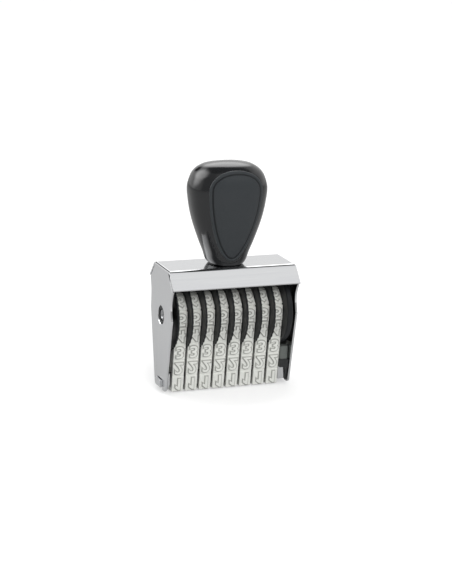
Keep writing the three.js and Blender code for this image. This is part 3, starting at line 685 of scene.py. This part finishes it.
# The next two are pairs of a depth from the axle's end and a radius.
CENTRE_HOLE = [(2.2, 0.3), (2.0, 1.3), (0.3, 1.5), (0, 1.8)]
AXLE_CORNER = [(0, AXLE_RADIUS - 0.4), (0.12, AXLE_RADIUS - 0.12), (0.4, AXLE_RADIUS)]
axle_profile = with_mirror([(depth - AXLE_HALF, r) for depth, r in CENTRE_HOLE + AXLE_CORNER])
piece("axle_bar", turned(axle_profile, 64, poles=True), STEEL, STAMP, "axle_steel", "axle")

RUNNING_GAP, BUSH_RADIUS, BUSH_REACH, FLANGE_RADIUS, FLANGE = 0.3, 4.1, 0.7, 6.0, 1.1
BUSH_BORE = AXLE_RADIUS + RUNNING_GAP
for side, node in ((-1, "left_bush"), (1, "right_bush")):
    inner, seat, outer = (side * (HALF_WIDTH - SHEET + d) for d in (-FLANGE, 0, BUSH_REACH))
    loop = rounded_loop([(inner, BUSH_BORE), (inner, FLANGE_RADIUS), (seat, FLANGE_RADIUS),
                         (seat, BUSH_RADIUS), (outer, BUSH_RADIUS), (outer, BUSH_BORE)],
                        [0.1, 0.2, 0.2, 0, 0.25, 0.2])
    piece(f"{node}_ring", turned(loop, 64), NYLON, STAMP, "wheel_plastic", node)

GUARD_START, GUARD_END, DISC_RADIUS = 25.9, 28.5, 17.0
loop = rounded_loop([(GUARD_START, BUSH_BORE), (GUARD_START, DISC_RADIUS), (GUARD_END, DISC_RADIUS),
                     (GUARD_END, BUSH_BORE)], [0.2, 0.6, 0.6, 0.2], 7)
piece("guard_ring", turned(loop, 160), NYLON, STAMP, "wheel_plastic", "guard_disc")
print("axle:", round(2 * AXLE_HALF, 1), "mm long, guard disc:", round(2 * DISC_RADIUS, 1), "mm across")

# %% [markdown]
# ## Thumb wheels
#
# Each wheel is a thin serrated disc with a toothed hub that fills its band's loop and drives the band.
# Teeth could be cut out one by one, but it is simpler to turn both as rings whose radius changes with the
# angle: a smooth wave for the thumb serrations, a trapezium for the teeth.

# %% Wheel sizes
BAND_COUNT, PITCH, STACK_START = 8, 6.8, -28.5
DISC_THICKNESS, SERRATIONS, SERRATION_DEPTH, SERRATION_FADE = 0.8, 36, 0.45, 1.2
HUB_TEETH, HUB_TIP, HUB_TOOTH_DEPTH, HUB_START, HUB_END = 8, 8.9, 1.2, 0.4, 6.6
TOOTH_TOP_SHARE, TOOTH_FLANK_SHARE = 0.62, 0.2
DISC_FLAT = DISC_RADIUS - SERRATION_FADE


# %% Wheel shapes
def serrations(radius, angle):
    """A cosine wave at the rim, which fades out over the outer SERRATION_FADE of the disc."""
    rim = np.clip((radius - DISC_FLAT) / SERRATION_FADE, 0, 1)
    return -rim * SERRATION_DEPTH * (0.5 - 0.5 * np.cos(SERRATIONS * angle))


def teeth(radius, angle):
    """A trapezium wave that lowers the hub's outside between its teeth, and leaves its bore alone."""
    wave = 2 * np.abs((HUB_TEETH * angle / (2 * math.pi)) % 1 - 0.5)
    gap = np.clip((TOOTH_TOP_SHARE - wave) / TOOTH_FLANK_SHARE, 0, 1)
    return -np.where(radius > (BUSH_BORE + HUB_TIP) / 2, gap * HUB_TOOTH_DEPTH, 0)


disc_loop = rounded_loop([(0, BUSH_BORE), (0, DISC_FLAT), (0, DISC_RADIUS), (DISC_THICKNESS, DISC_RADIUS),
                          (DISC_THICKNESS, DISC_FLAT), (DISC_THICKNESS, BUSH_BORE)], [0, 0, 0.25, 0.25, 0, 0])
hub_loop = rounded_loop([(HUB_START, BUSH_BORE), (HUB_START, HUB_TIP), (HUB_END, HUB_TIP),
                         (HUB_END, BUSH_BORE)], [0, 0, 0.3, 0.2], 4)
wheel_points, wheel_faces = joined(turned(disc_loop, 216, serrations), turned(hub_loop, 96, teeth))
for number in range(BAND_COUNT):
    shifted = wheel_points + [STACK_START + number * PITCH, 0, 0]
    piece(f"thumb_wheel_{number + 1}", (shifted, wheel_faces), NYLON, f"wheel_{number + 1}", "wheel_plastic",
          f"number_wheel_{number + 1}")
print("thumb wheels:", BAND_COUNT, "of", len(wheel_faces), "faces")

# %% [markdown]
# ## Number bands
#
# A band is a rubber belt with fourteen raised blocks, and a figure on each of ten blocks. It runs round
# the hub at the top and under the bridge at the bottom. Blocks and figures bent along a curve would come
# out crooked, because the moulded blocks stay flat. So the belt's line is worked out first, as a place
# and an outward direction for any distance along it. Then the belt and the blocks are rows of points
# across the band, and each figure is set on its block. Its sides slope out to the block, as a mould
# needs. The figures are raised in mirror writing: on the print face they read rightly only when seen
# through the paper.

# %% Band sizes
BLOCKS, BAND_WIDTH, BAND_BASE, BLOCK_FACE, FIGURE_FACE = 14, 5.6, 1.1, 1.35, 2.0
BLOCK_GAP, BAND_EDGE, EDGE_SHARE, INNER_REACH = 0.6, 0.15, 0.3, 0.1
BAND_TO_DISC, BAND_TO_HUB = 0.2, 0.3
BAND_START = DISC_THICKNESS + BAND_TO_DISC
# The belt's inner line goes round these two circles, each one y, z and a radius.
HUB_LINE = (0.0, AXLE_HEIGHT, HUB_TIP + BAND_TO_HUB)
FOOT_LINE = (-3.0, 3.8, 1.8)


# %% The belt's line
def belt_lengths():
    """Angle of the straight's outward normal, and half the belt's flat, foot arc, straight and crown arc."""
    dy, dz = HUB_LINE[0] - FOOT_LINE[0], HUB_LINE[1] - FOOT_LINE[1]
    apart = math.hypot(dy, dz)
    normal = math.atan2(dz, dy) + math.acos((FOOT_LINE[2] - HUB_LINE[2]) / apart)
    return normal, np.array([-FOOT_LINE[0], (FOOT_LINE[2] + BAND_BASE) * (3 * math.pi / 2 - normal),
                             math.sqrt(apart ** 2 - (HUB_LINE[2] - FOOT_LINE[2]) ** 2),
                             (HUB_LINE[2] + BAND_BASE) * (normal - math.pi / 2)])


NORMAL, LENGTHS = belt_lengths()
HALF_BELT = LENGTHS.sum()
BLOCK_PITCH = 2 * HALF_BELT / BLOCKS
BLOCK_HALF = (BLOCK_PITCH - BLOCK_GAP) / 2


def belt_at(distance):
    """Places (y, z) of the inner line and outward directions, for distances from the middle of the print
    face. The first half goes forwards and up; the second half is its mirror image."""
    s = np.mod(np.atleast_1d(distance).astype(float), 2 * HALF_BELT)
    mirror = np.where(s > HALF_BELT, -1.0, 1.0)
    s = np.where(s > HALF_BELT, 2 * HALF_BELT - s, s)
    flat, foot, straight, _ = np.cumsum(LENGTHS)
    on_flat, on_foot, on_straight = s < flat, (s >= flat) & (s < foot), (s >= foot) & (s < straight)
    down = np.full_like(s, 3 * math.pi / 2)
    round_foot = down - (s - flat) / (FOOT_LINE[2] + BAND_BASE)
    round_hub = NORMAL - (s - straight) / (HUB_LINE[2] + BAND_BASE)
    angle = np.select([on_flat, on_foot, on_straight], [down, round_foot, np.full_like(s, NORMAL)], round_hub)
    on_hub = ~(on_flat | on_foot | on_straight)
    circle = np.where(on_hub[..., None], HUB_LINE, FOOT_LINE)
    y = circle[..., 0] + circle[..., 2] * np.cos(angle)
    z = circle[..., 1] + circle[..., 2] * np.sin(angle)
    along = np.where(on_straight, s - foot, 0)
    y, z = y + along * np.sin(angle), z - along * np.cos(angle)
    y = np.where(on_flat, -s, y)
    return np.stack([y * mirror, z], axis=-1), np.stack([np.cos(angle) * mirror, np.sin(angle)], axis=-1)


# %% Belt and blocks
def belt_shell():
    """Rows round the belt and points round each row's section. A row gives the inner line's distance, and
    the outer side as a height over the block's own flat plane, or over the belt's line in the gaps
    between blocks. The edges are rounded by EDGE_SHARE of BAND_EDGE."""
    t = np.concatenate([[-BLOCK_HALF], [-BLOCK_HALF], [-BLOCK_HALF + BAND_EDGE],
                        np.linspace(-BLOCK_HALF, BLOCK_HALF, 9)[1:-1],
                        [BLOCK_HALF - BAND_EDGE], [BLOCK_HALF], [BLOCK_HALF]])
    height = np.full(len(t), BLOCK_FACE)
    height[[0, -1]] = BAND_BASE
    height[[1, -2]] = BLOCK_FACE - BAND_EDGE
    inner_t = np.linspace(-BLOCK_HALF - INNER_REACH, BLOCK_HALF + INNER_REACH, len(t))
    middles = np.arange(BLOCKS)[:, None] * BLOCK_PITCH
    middle, out = belt_at(np.broadcast_to(middles, (BLOCKS, len(t))))
    along = np.stack([out[..., 1], -out[..., 0]], axis=-1)
    on_block = middle + out * height[:, None] + along * t[:, None]
    line, line_out = belt_at(middles + t)
    is_base = (height == BAND_BASE)[None, :, None]
    outer = np.where(is_base, line + line_out * BAND_BASE, on_block).reshape(-1, 2)
    outward = np.where(is_base, line_out, out).reshape(-1, 2)
    inner = belt_at(middles + inner_t)[0].reshape(-1, 2)
    edge, soft = BAND_EDGE, BAND_EDGE * EDGE_SHARE
    left = [(0, inner), (0, outer - outward * edge), (soft, outer - outward * soft), (edge, outer)]
    section = left + [(BAND_WIDTH / 2, outer)] + [(BAND_WIDTH - x, yz) for x, yz in reversed(left)]
    points = np.stack([np.column_stack([np.full(len(yz), x), yz]) for x, yz in section], axis=1)
    return points.reshape(-1, 3), grid_faces(len(outer), len(section), close_rows=True, close_columns=True)


# %% Figures
FIGURE_HEIGHT, FIGURE_WIDTH, ONE_WIDTH_SHARE = 7.2, 5.2, 0.66
FIGURE_RISE = FIGURE_FACE - BLOCK_FACE
# The next values are in the typeface's own units, in which a figure is about 0.7 tall.
STROKE_OFFSET, FOOT_OFFSET, HALF_CORE = 0.008, 0.085, 0.002
ONE_OUTLINE = [(0.22, 0), (0.40, 0), (0.40, 0.70), (0.27, 0.70), (0.04, 0.55), (0.04, 0.41), (0.22, 0.50)]


def figure_curve(text):
    """A figure as a flat curve with sloping sides: from the built-in typeface, or for the one from an
    outline with a flag, because the typeface draws it as a plain bar."""
    if text == "1":
        curve = bpy.data.curves.new("figure", "CURVE")
        curve.dimensions = "2D"
        curve.fill_mode = "BOTH"
        spline = curve.splines.new("POLY")
        spline.points.add(len(ONE_OUTLINE) - 1)
        spline.points.foreach_set("co", [value for x, y in ONE_OUTLINE for value in (x, y, 0, 1)])
        spline.use_cyclic_u = True
    else:
        curve = bpy.data.curves.new("figure", "FONT")
        curve.body = text
        curve.offset = STROKE_OFFSET
    curve.resolution_u = 4
    curve.extrude = HALF_CORE
    curve.bevel_depth = FOOT_OFFSET
    curve.bevel_resolution = 0
    return curve


def figure_shell(text):
    """A figure as a solid, scaled to its height and width on the block. It comes out as (across, up, out)
    points. Its sides slope out to the block's face, and its lower half is sunk into the block."""
    curve = figure_curve(text)
    obj = in_scene("figure", curve)
    mesh = evaluated_mesh(obj)
    points = np.array([v.co for v in mesh.vertices])
    faces = [list(p.vertices) for p in mesh.polygons]
    bpy.data.objects.remove(obj)
    bpy.data.curves.remove(curve)
    bpy.data.meshes.remove(mesh)
    low, high = points.min(axis=0), points.max(axis=0)
    size = [FIGURE_WIDTH * (ONE_WIDTH_SHARE if text == "1" else 1), FIGURE_HEIGHT, 2 * FIGURE_RISE]
    points = ((points - low) / (high - low) - [0.5, 0.5, 0]) * size
    return points + [0, 0, BLOCK_FACE - FIGURE_RISE], faces


def figure_on_block(shell, block):
    """Across the figure is x. Its top points back along the belt, so that it prints upright."""
    points, faces = shell
    middle, out = (pair[0] for pair in belt_at(block * BLOCK_PITCH))
    up = np.array([-out[1], out[0]])
    yz = middle + points[:, 1:2] * up + points[:, 2:] * out
    return np.column_stack([BAND_WIDTH / 2 + points[:, 0], yz]), faces


# The attribute tells the rubber where shade is painted: 0 on the belt, a little along a block's middle,
# the height share on a figure's sloping sides, and 1 on a face.
FIGURE_FOOT_SHADE, BLOCK_MIDDLE_SHADE = 0.1, 0.075
belt = belt_shell()
figure_shells = [figure_shell(str(i)) for i in range(10)]
figures = [figure_on_block(shell, i) for i, shell in enumerate(figure_shells)]
band_points, band_faces = joined(belt, *figures)
block_rise = np.where(np.isclose(belt[0][:, 0], BAND_WIDTH / 2), BLOCK_MIDDLE_SHADE, 0)
over_block = np.concatenate([shell[0][:, 2] for shell in figure_shells]) - BLOCK_FACE
band_rise = np.concatenate([block_rise, np.clip(over_block / FIGURE_RISE, FIGURE_FOOT_SHADE, 1)])
for number in range(BAND_COUNT):
    shifted = band_points + [STACK_START + number * PITCH + BAND_START, 0, 0]
    piece(f"figure_band_{number + 1}", (shifted, band_faces), RUBBER, STAMP, "band_rubber",
          f"number_band_{number + 1}", smooth=False, rise=band_rise)
print("bands:", BAND_COUNT, "of", len(band_faces), "faces")

# %% [markdown]
# ## Handle
#
# The handle is one moulded grip. It could be sculpted, but rings of superellipses keep it even: they are
# rounder than boxes and squarer than ellipses, and are lofted from a slim foot over a wide shoulder to a
# dome. The front and back each carry a matt inlay in a raised rim, with a fine groove inside the rim.
# Both are carried along the inlay's outline on the grip's surface, so that their edges stay crisp.

# %% Handle sizes
HANDLE_HEIGHT, HANDLE_HALF_WIDTH, HANDLE_HALF_DEPTH, SECTION_POWER = 48.5, 18.8, 15.4, 2.3
# Each row gives a height, a half-width and a half-depth as shares of the handle's own.
HANDLE_SHARES = [
    (0, 0.4, 0.5), (0.012, 0.447, 0.528), (0.05, 0.515, 0.56), (0.12, 0.575, 0.61), (0.22, 0.68, 0.69),
    (0.32, 0.775, 0.77), (0.42, 0.86, 0.85), (0.52, 0.925, 0.92), (0.62, 0.97, 0.97), (0.75, 1, 1),
    (0.855, 0.925, 0.96), (0.91, 0.845, 0.86), (0.965, 0.66, 0.62), (0.99, 0.42, 0.36), (1, 0.16, 0.13),
    (1, 0, 0),
]


# %% The grip's outline
def smooth_curve(points, per_span):
    """A curve through all the points: cubic pieces whose slopes weigh the neighbouring chords by the
    square root of their lengths, which keeps it free of loops."""
    p = np.asarray(points, float)
    p = np.concatenate([[2 * p[0] - p[1]], p, [2 * p[-1] - p[-2]]])
    gap = np.sqrt(np.linalg.norm(np.diff(p, axis=0), axis=1))[:, None]
    d0, d1, d2 = gap[:-2], gap[1:-1], gap[2:]
    p0, p1, p2, p3 = p[:-3], p[1:-2], p[2:-1], p[3:]
    m1 = d1 * ((p1 - p0) / d0 - (p2 - p0) / (d0 + d1) + (p2 - p1) / d1)
    m2 = d1 * ((p2 - p1) / d1 - (p3 - p1) / (d1 + d2) + (p3 - p2) / d2)
    t = np.linspace(0, 1, per_span, endpoint=False)[None, :, None]
    p1, p2, m1, m2 = (a[:, None, :] for a in (p1, p2, m1, m2))
    curve = (2 * t ** 3 - 3 * t ** 2 + 1) * p1 + (t ** 3 - 2 * t ** 2 + t) * m1
    curve = curve + (3 * t ** 2 - 2 * t ** 3) * p2 + (t ** 3 - t ** 2) * m2
    return np.concatenate([curve.reshape(-1, p.shape[1]), p[-2:-1]])


grip = np.clip(smooth_curve(HANDLE_SHARES, 9), 0, 1)
grip = grip * [HANDLE_HEIGHT, HANDLE_HALF_WIDTH, HANDLE_HALF_DEPTH] + [ROOF, 0, 0]


def grip_depth(x, z):
    """Distance of the grip's surface from the middle plane: (x / width)^n + (y / depth)^n = 1 at each z."""
    width, depth = (np.interp(z, grip[:, 0], grip[:, i]) for i in (1, 2))
    share = np.clip(1 - np.abs(x / np.maximum(width, 1e-6)) ** SECTION_POWER, 0, 1)
    return depth * share ** (1 / SECTION_POWER)


def on_grip(x, z, height, side):
    """Points that stand a height out from the grip, along its normal, on its front (-1) or back (1)."""
    step = 0.05
    slope_x = (grip_depth(x + step, z) - grip_depth(x - step, z)) / (2 * step)
    slope_z = (grip_depth(x, z + step) - grip_depth(x, z - step)) / (2 * step)
    length = np.sqrt(1 + slope_x ** 2 + slope_z ** 2)
    y = side * (grip_depth(x, z) + height / length)
    return np.stack([x - height * slope_x / length, y, z - height * slope_z / length], axis=-1)


# %% The inlay's outline
INLAY_HALF_WIDTH, INLAY_TIP, INLAY_HEAD = 11.6, ROOF + 4.0, ROOF + HANDLE_HEIGHT - 4.0
WAIST_SHARE, TIP_SHARE, FLANK_SHARE, HEAD_SHARE = 0.8, 0.42, 0.55, 0.6


def bezier(a, b, c, d, steps):
    """A cubic curve from a to d that leaves towards b and arrives from c."""
    a, b, c, d = (np.array(p, float) for p in (a, b, c, d))
    t = np.linspace(0, 1, steps, endpoint=False)[:, None]
    return (1 - t) ** 3 * a + 3 * t * (1 - t) ** 2 * b + 3 * t ** 2 * (1 - t) * c + t ** 3 * d


def inlay_outline(steps=60):
    """The outline in (x, z), right half first: a rounded tip near the roof that widens to a round head."""
    half, tip, head = INLAY_HALF_WIDTH, INLAY_TIP, INLAY_HEAD
    waist = tip + (head - tip) * WAIST_SHARE
    flank, shoulder = tip + (waist - tip) * FLANK_SHARE, waist + (head - waist) * HEAD_SHARE
    lower = bezier((0, tip), (half * TIP_SHARE, tip), (half, flank), (half, waist), steps)
    upper = bezier((half, waist), (half, shoulder), (half * HEAD_SHARE, head), (0, head), steps // 2)
    right = np.concatenate([lower, upper])
    return np.concatenate([right, [[0, head]], (right * [-1, 1])[:0:-1]])


def even_loop(loop, count):
    """The same closed loop with its points at even distances."""
    closed = np.concatenate([loop, loop[:1]])
    length = np.concatenate([[0], np.cumsum(np.linalg.norm(np.diff(closed, axis=0), axis=1))])
    at = np.linspace(0, length[-1], count, endpoint=False)
    return np.column_stack([np.interp(at, length, closed[:, i]) for i in (0, 1)])


outline = even_loop(inlay_outline(), 240)
tangent = np.roll(outline, -1, 0) - np.roll(outline, 1, 0)
tangent /= np.linalg.norm(tangent, axis=1)[:, None]
outward = np.column_stack([tangent[:, 1], -tangent[:, 0]])
outline_middle = np.array([0, (INLAY_TIP + INLAY_HEAD) / 2])


def outside_by(x, z):
    """How far points lie outside the inlay's outline, negative inside, by the nearest of its points."""
    offset = np.stack([x, z], axis=-1)[:, None, :] - outline[None]
    near = np.argmin((offset ** 2).sum(axis=2), axis=1)
    rows = np.arange(len(near))
    return (offset[rows, near] * outward[near]).sum(axis=1)


# %% The grip
RECESS_DEPTH, RECESS_MARGIN, RECESS_FADE = 1.2, 1.2, 0.6


def grip_shell(sides=240):
    """Rings of superellipses, closed at the top and bottom. Behind the inlays the surface steps in by
    RECESS_DEPTH, from RECESS_MARGIN outside their outline inwards."""
    a = (np.arange(sides) + 0.5) * 2 * math.pi / sides
    c, s = np.cos(a), np.sin(a)
    rings = grip[:-1]
    xs = rings[:, 1, None] * np.sign(c) * np.abs(c) ** (2 / SECTION_POWER)
    ys = rings[:, 2, None] * np.sign(s) * np.abs(s) ** (2 / SECTION_POWER)
    points = np.stack([xs, ys, np.broadcast_to(rings[:, :1], xs.shape)], axis=2).reshape(-1, 3)
    inside = np.clip((RECESS_MARGIN - outside_by(points[:, 0], points[:, 2])) / RECESS_FADE, 0, 1)
    points[:, 1] -= np.sign(points[:, 1]) * inside * RECESS_DEPTH
    return capped(points, sides, [[0, 0, ROOF], [0, 0, ROOF + HANDLE_HEIGHT]])


handle = piece("handle_grip", grip_shell(), GLOSS, STAMP, "handle_gloss", "handle_body")
print("handle:", len(handle.data.polygons), "faces")


# %% The inlays
# The sections are pairs of a distance outside the inlay's outline and a height over the grip.
INLAY_BACK, INLAY_RINGS = -1.4, 15
RIM_SECTION = [(1.55, INLAY_BACK), (1.55, -0.1), (1.4, 0.12), (1.15, 0.25), (0.9, 0.3), (0.7, 0.28),
               (0.45, 0.18), (0.3, 0.0)]
GROOVE_SECTION = [(0.2, -0.3), (0.1, -0.4), (-0.05, -0.4), (-0.15, -0.3)]
PANEL_EDGE = [(-0.3, -0.05), (-0.6, 0.0)]


def inlay_shell(side):
    """Rings round the outline: first the raised rim, the groove and the panel's edge, and then straight
    inwards to the outline's middle. A hidden back closes it."""
    section = RIM_SECTION + GROOVE_SECTION + PANEL_EDGE
    layers = [on_grip(*(outline + outward * distance).T, height, side) for distance, height in section]
    inside_rim, panel_height = outline + outward * section[-1][0], section[-1][1]
    for share in 1 - np.linspace(0, 1, INLAY_RINGS + 1, endpoint=False)[1:]:
        ring = outline_middle + (inside_rim - outline_middle) * share
        layers.append(on_grip(*ring.T, panel_height, side))
    poles = [on_grip(*outline_middle[:, None], height, side)[0] for height in (INLAY_BACK, panel_height)]
    return capped(np.concatenate(layers), len(outline), poles)


# The groove's rings get 1, which paints shade in the groove.
in_groove = [0] * len(RIM_SECTION) + [1] * len(GROOVE_SECTION) + [0] * (len(PANEL_EDGE) + INLAY_RINGS)
groove_rise = np.concatenate([np.repeat(in_groove, len(outline)), [0, 0]])
for side, node in ((-1, "handle_front_inlay"), (1, "handle_rear_inlay")):
    piece(f"{node}_panel", inlay_shell(side), MATT, STAMP, "inlay_matt", node, rise=groove_rise)
print("inlays:", len(in_groove), "rings of", len(outline), "points")

# %% [markdown]
# ## Studio
#
# The stamp stands on a plain pale floor under soft light from all round. To the camera the world is
# white. A plain white world in the mirrors too would make the chrome look like paper, so there it is a
# photographer's studio: a white wall behind with a glow and a gap in it, a soft lamp high on the left
# with a dimmer panel beside it, a white board over the front, and a dark ceiling between them. That is
# what draws the dark folds on the chrome and the highlights on the handle.


# %% Floor
HALF_FLOOR = 6000.0
# The glow is GLOW_LOW within GLOW_FROM mm of the stamp's middle, rising to GLOW_HIGH at GLOW_FULL mm: the dip
# is a painted shadow.
GLOW_FROM, GLOW_FULL, GLOW_LOW, GLOW_HIGH = 30, 55, 0.42, 0.56


def combined(tree, operation, first, second):
    """Two numbers combined by a sum, product or the like. The second may be a plain number."""
    node = add(tree, "ShaderNodeMath", {"operation": operation})
    tree.links.new(first, node.inputs[0])
    if isinstance(second, float):
        node.inputs[1].default_value = second
    else:
        tree.links.new(second, node.inputs[1])
    return node.outputs["Value"]


def floor_material():
    """A pale matt board. To the camera it also glows a little, which lifts it to white. Close to the stamp it
    glows less, which paints a soft shadow round it over the real one."""
    material, tree, shader = new_material("floor_board", Base_Color=linear("C4C4C4"), Roughness=0.9,
                                          Specular_IOR_Level=0.1, Emission_Color=(1, 1, 1, 1))
    seen = add(tree, "ShaderNodeLightPath").outputs["Is Camera Ray"]
    place = add(tree, "ShaderNodeTexCoord").outputs["Object"]
    away = add(tree, "ShaderNodeVectorMath", {"operation": "LENGTH"}, Vector=place).outputs["Value"]
    limits = {"From Min": GLOW_FROM * MM, "From Max": GLOW_FULL * MM, "To Min": GLOW_LOW, "To Max": GLOW_HIGH}
    glow = add(tree, "ShaderNodeMapRange", limits, Value=away).outputs["Result"]
    link(tree, shader, Emission_Strength=combined(tree, "MULTIPLY", seen, glow))
    return material


corners = [(x, y, 0) for x, y in rectangle((-HALF_FLOOR, -HALF_FLOOR), (HALF_FLOOR, HALF_FLOOR))]
floor = mesh_object("floor", (corners, [(0, 1, 2, 3)]))
floor.data.materials.append(floor_material())
print("floor:", 2 * HALF_FLOOR * MM, "m wide")

# %% World
# Each patch gives an azimuth and an elevation, the angles within which it is full and beyond which it is
# gone, and its strength. The wall is a patch too, and its top edge fades between the angles of WALL_TOP.
AMBIENT, ROOM = 0.8, 0.36
WALL, WALL_TOP = (20, 0, 62, 88, 0.54), (48, 53)
PATCHES = {
    "wall_glow": (18, 36, 8, 21, 1.8),
    "left_lamp": (-52, 36, 10, 34, 3.5),
    "left_panel": (-66, 10, 14, 34, 0.5),
    "gap": (-8, 21, 4, 10, -0.9),
    "front_board": (150, 55, 20, 42, 0.62),
    "ceiling": (34, 67, 27, 35, -0.23),
}
world = bpy.data.worlds.new("studio")
world.use_nodes = True
bpy.context.scene.world = world
tree = world.node_tree
background = tree.nodes["Background"]
path = add(tree, "ShaderNodeLightPath")
way = add(tree, "ShaderNodeTexCoord").outputs["Generated"]


def towards(azimuth, elevation, inner, outer, strength):
    """A round patch of the world: full within inner degrees of its middle, and none beyond outer degrees.
    Azimuth 0 is straight behind the stamp, 90 is on its right."""
    a, e = math.radians(azimuth), math.radians(elevation)
    dot = add(tree, "ShaderNodeVectorMath", {"operation": "DOT_PRODUCT"}, Vector=way)
    dot.inputs[1].default_value = (math.sin(a) * math.cos(e), math.cos(a) * math.cos(e), math.sin(e))
    low, high = (math.cos(math.radians(angle)) for angle in (outer, inner))
    limits = {"interpolation_type": "SMOOTHSTEP", "From Min": low, "From Max": high, "To Max": strength}
    return add(tree, "ShaderNodeMapRange", limits, Value=dot.outputs["Value"]).outputs["Result"]


lights = {name: towards(*numbers) for name, numbers in PATCHES.items()}
height = add(tree, "ShaderNodeSeparateXYZ", Vector=way).outputs["Z"]
low, high = (math.sin(math.radians(angle)) for angle in WALL_TOP)
fade = {"interpolation_type": "SMOOTHSTEP", "From Min": low, "From Max": high, "To Min": 1.0, "To Max": 0.0}
under_top = add(tree, "ShaderNodeMapRange", fade, Value=height).outputs["Result"]
wall = combined(tree, "ADD", towards(*WALL), lights.pop("wall_glow"))
studio = combined(tree, "MULTIPLY", wall, under_top)
for light in (*lights.values(), ROOM):
    studio = combined(tree, "ADD", studio, light)
mirrored = combined(tree, "MAXIMUM", path.outputs["Is Glossy Ray"], path.outputs["Is Transmission Ray"])
in_gloss = add(tree, "ShaderNodeMix", {"data_type": "FLOAT", "A": AMBIENT}, Factor=mirrored, B=studio)
strength = add(tree, "ShaderNodeMix", {"data_type": "FLOAT", "B": 1.0}, Factor=path.outputs["Is Camera Ray"],
               A=in_gloss)
link(tree, background, Strength=strength)
background.inputs["Color"].default_value = (1, 1, 1, 1)
print("world:", len(PATCHES), "patches besides the wall")


# %% Lamps
def softbox(name, place, target, size, power):
    """A rectangular area lamp, placed in millimetres and turned to its target. Gloss doesn't see it."""
    lamp = bpy.data.lights.new(name, "AREA")
    lamp.shape = "RECTANGLE"
    lamp.size, lamp.size_y = (s * MM for s in size)
    lamp.energy = power
    obj = in_scene(name, lamp)
    place, target = np.array(place, float), np.array(target, float)
    back = (place - target) / np.linalg.norm(place - target)
    right = np.cross([0, 0, 1], back)
    right /= np.linalg.norm(right)
    axes = np.column_stack([right, np.cross(back, right), back])
    obj.matrix_world = Matrix([[*axes[i], place[i] * MM] for i in range(3)] + [[0, 0, 0, 1]])
    obj.visible_glossy = False


softbox("left_softbox", place=(-540, 330, 620), target=(0, 0, 50), size=(500, 500), power=1.6)
softbox("front_softbox", place=(20, -840, 520), target=(0, 0, 30), size=(500, 400), power=5.8)
print("lamps:", len(bpy.data.lights))

# %% [markdown]
# ## Camera
#
# The camera's place and lens were worked out from the frame's corners in the photograph, with a long lens
# from about 0.8 m away. It stands left of the middle and looks slightly down.

# %% Camera
TURN, TILT, ROLL, DISTANCE = math.radians(-20.537), math.radians(14.5), math.radians(1.462), 832.6
LENS_PIXELS, PICTURE_HEIGHT = 1764.03, 584
AIM_HEIGHT, AIM_RIGHT, AIM_UP = 51.3, 0.62, -5.157
back = np.array([math.sin(TURN) * math.cos(TILT), -math.cos(TURN) * math.cos(TILT), math.sin(TILT)])
level = np.array([math.cos(TURN), math.sin(TURN), 0])
upright = np.cross(back, level)
right = level * math.cos(ROLL) + upright * math.sin(ROLL)
up = -level * math.sin(ROLL) + upright * math.cos(ROLL)
place = np.array([0, 0, AIM_HEIGHT]) + right * AIM_RIGHT + up * AIM_UP + back * DISTANCE
camera_data = bpy.data.cameras.new("camera")
camera_data.sensor_width = 36
camera_data.lens = LENS_PIXELS / PICTURE_HEIGHT * camera_data.sensor_width
camera = in_scene("camera", camera_data)
camera.matrix_world = Matrix([[right[i], up[i], back[i], place[i] * MM] for i in range(3)] + [[0, 0, 0, 1]])
bpy.context.scene.camera = camera
bpy.context.scene.view_settings.view_transform = "Standard"
print("camera at", place.round(1).tolist(), "mm, lens", round(camera_data.lens, 1), "mm")
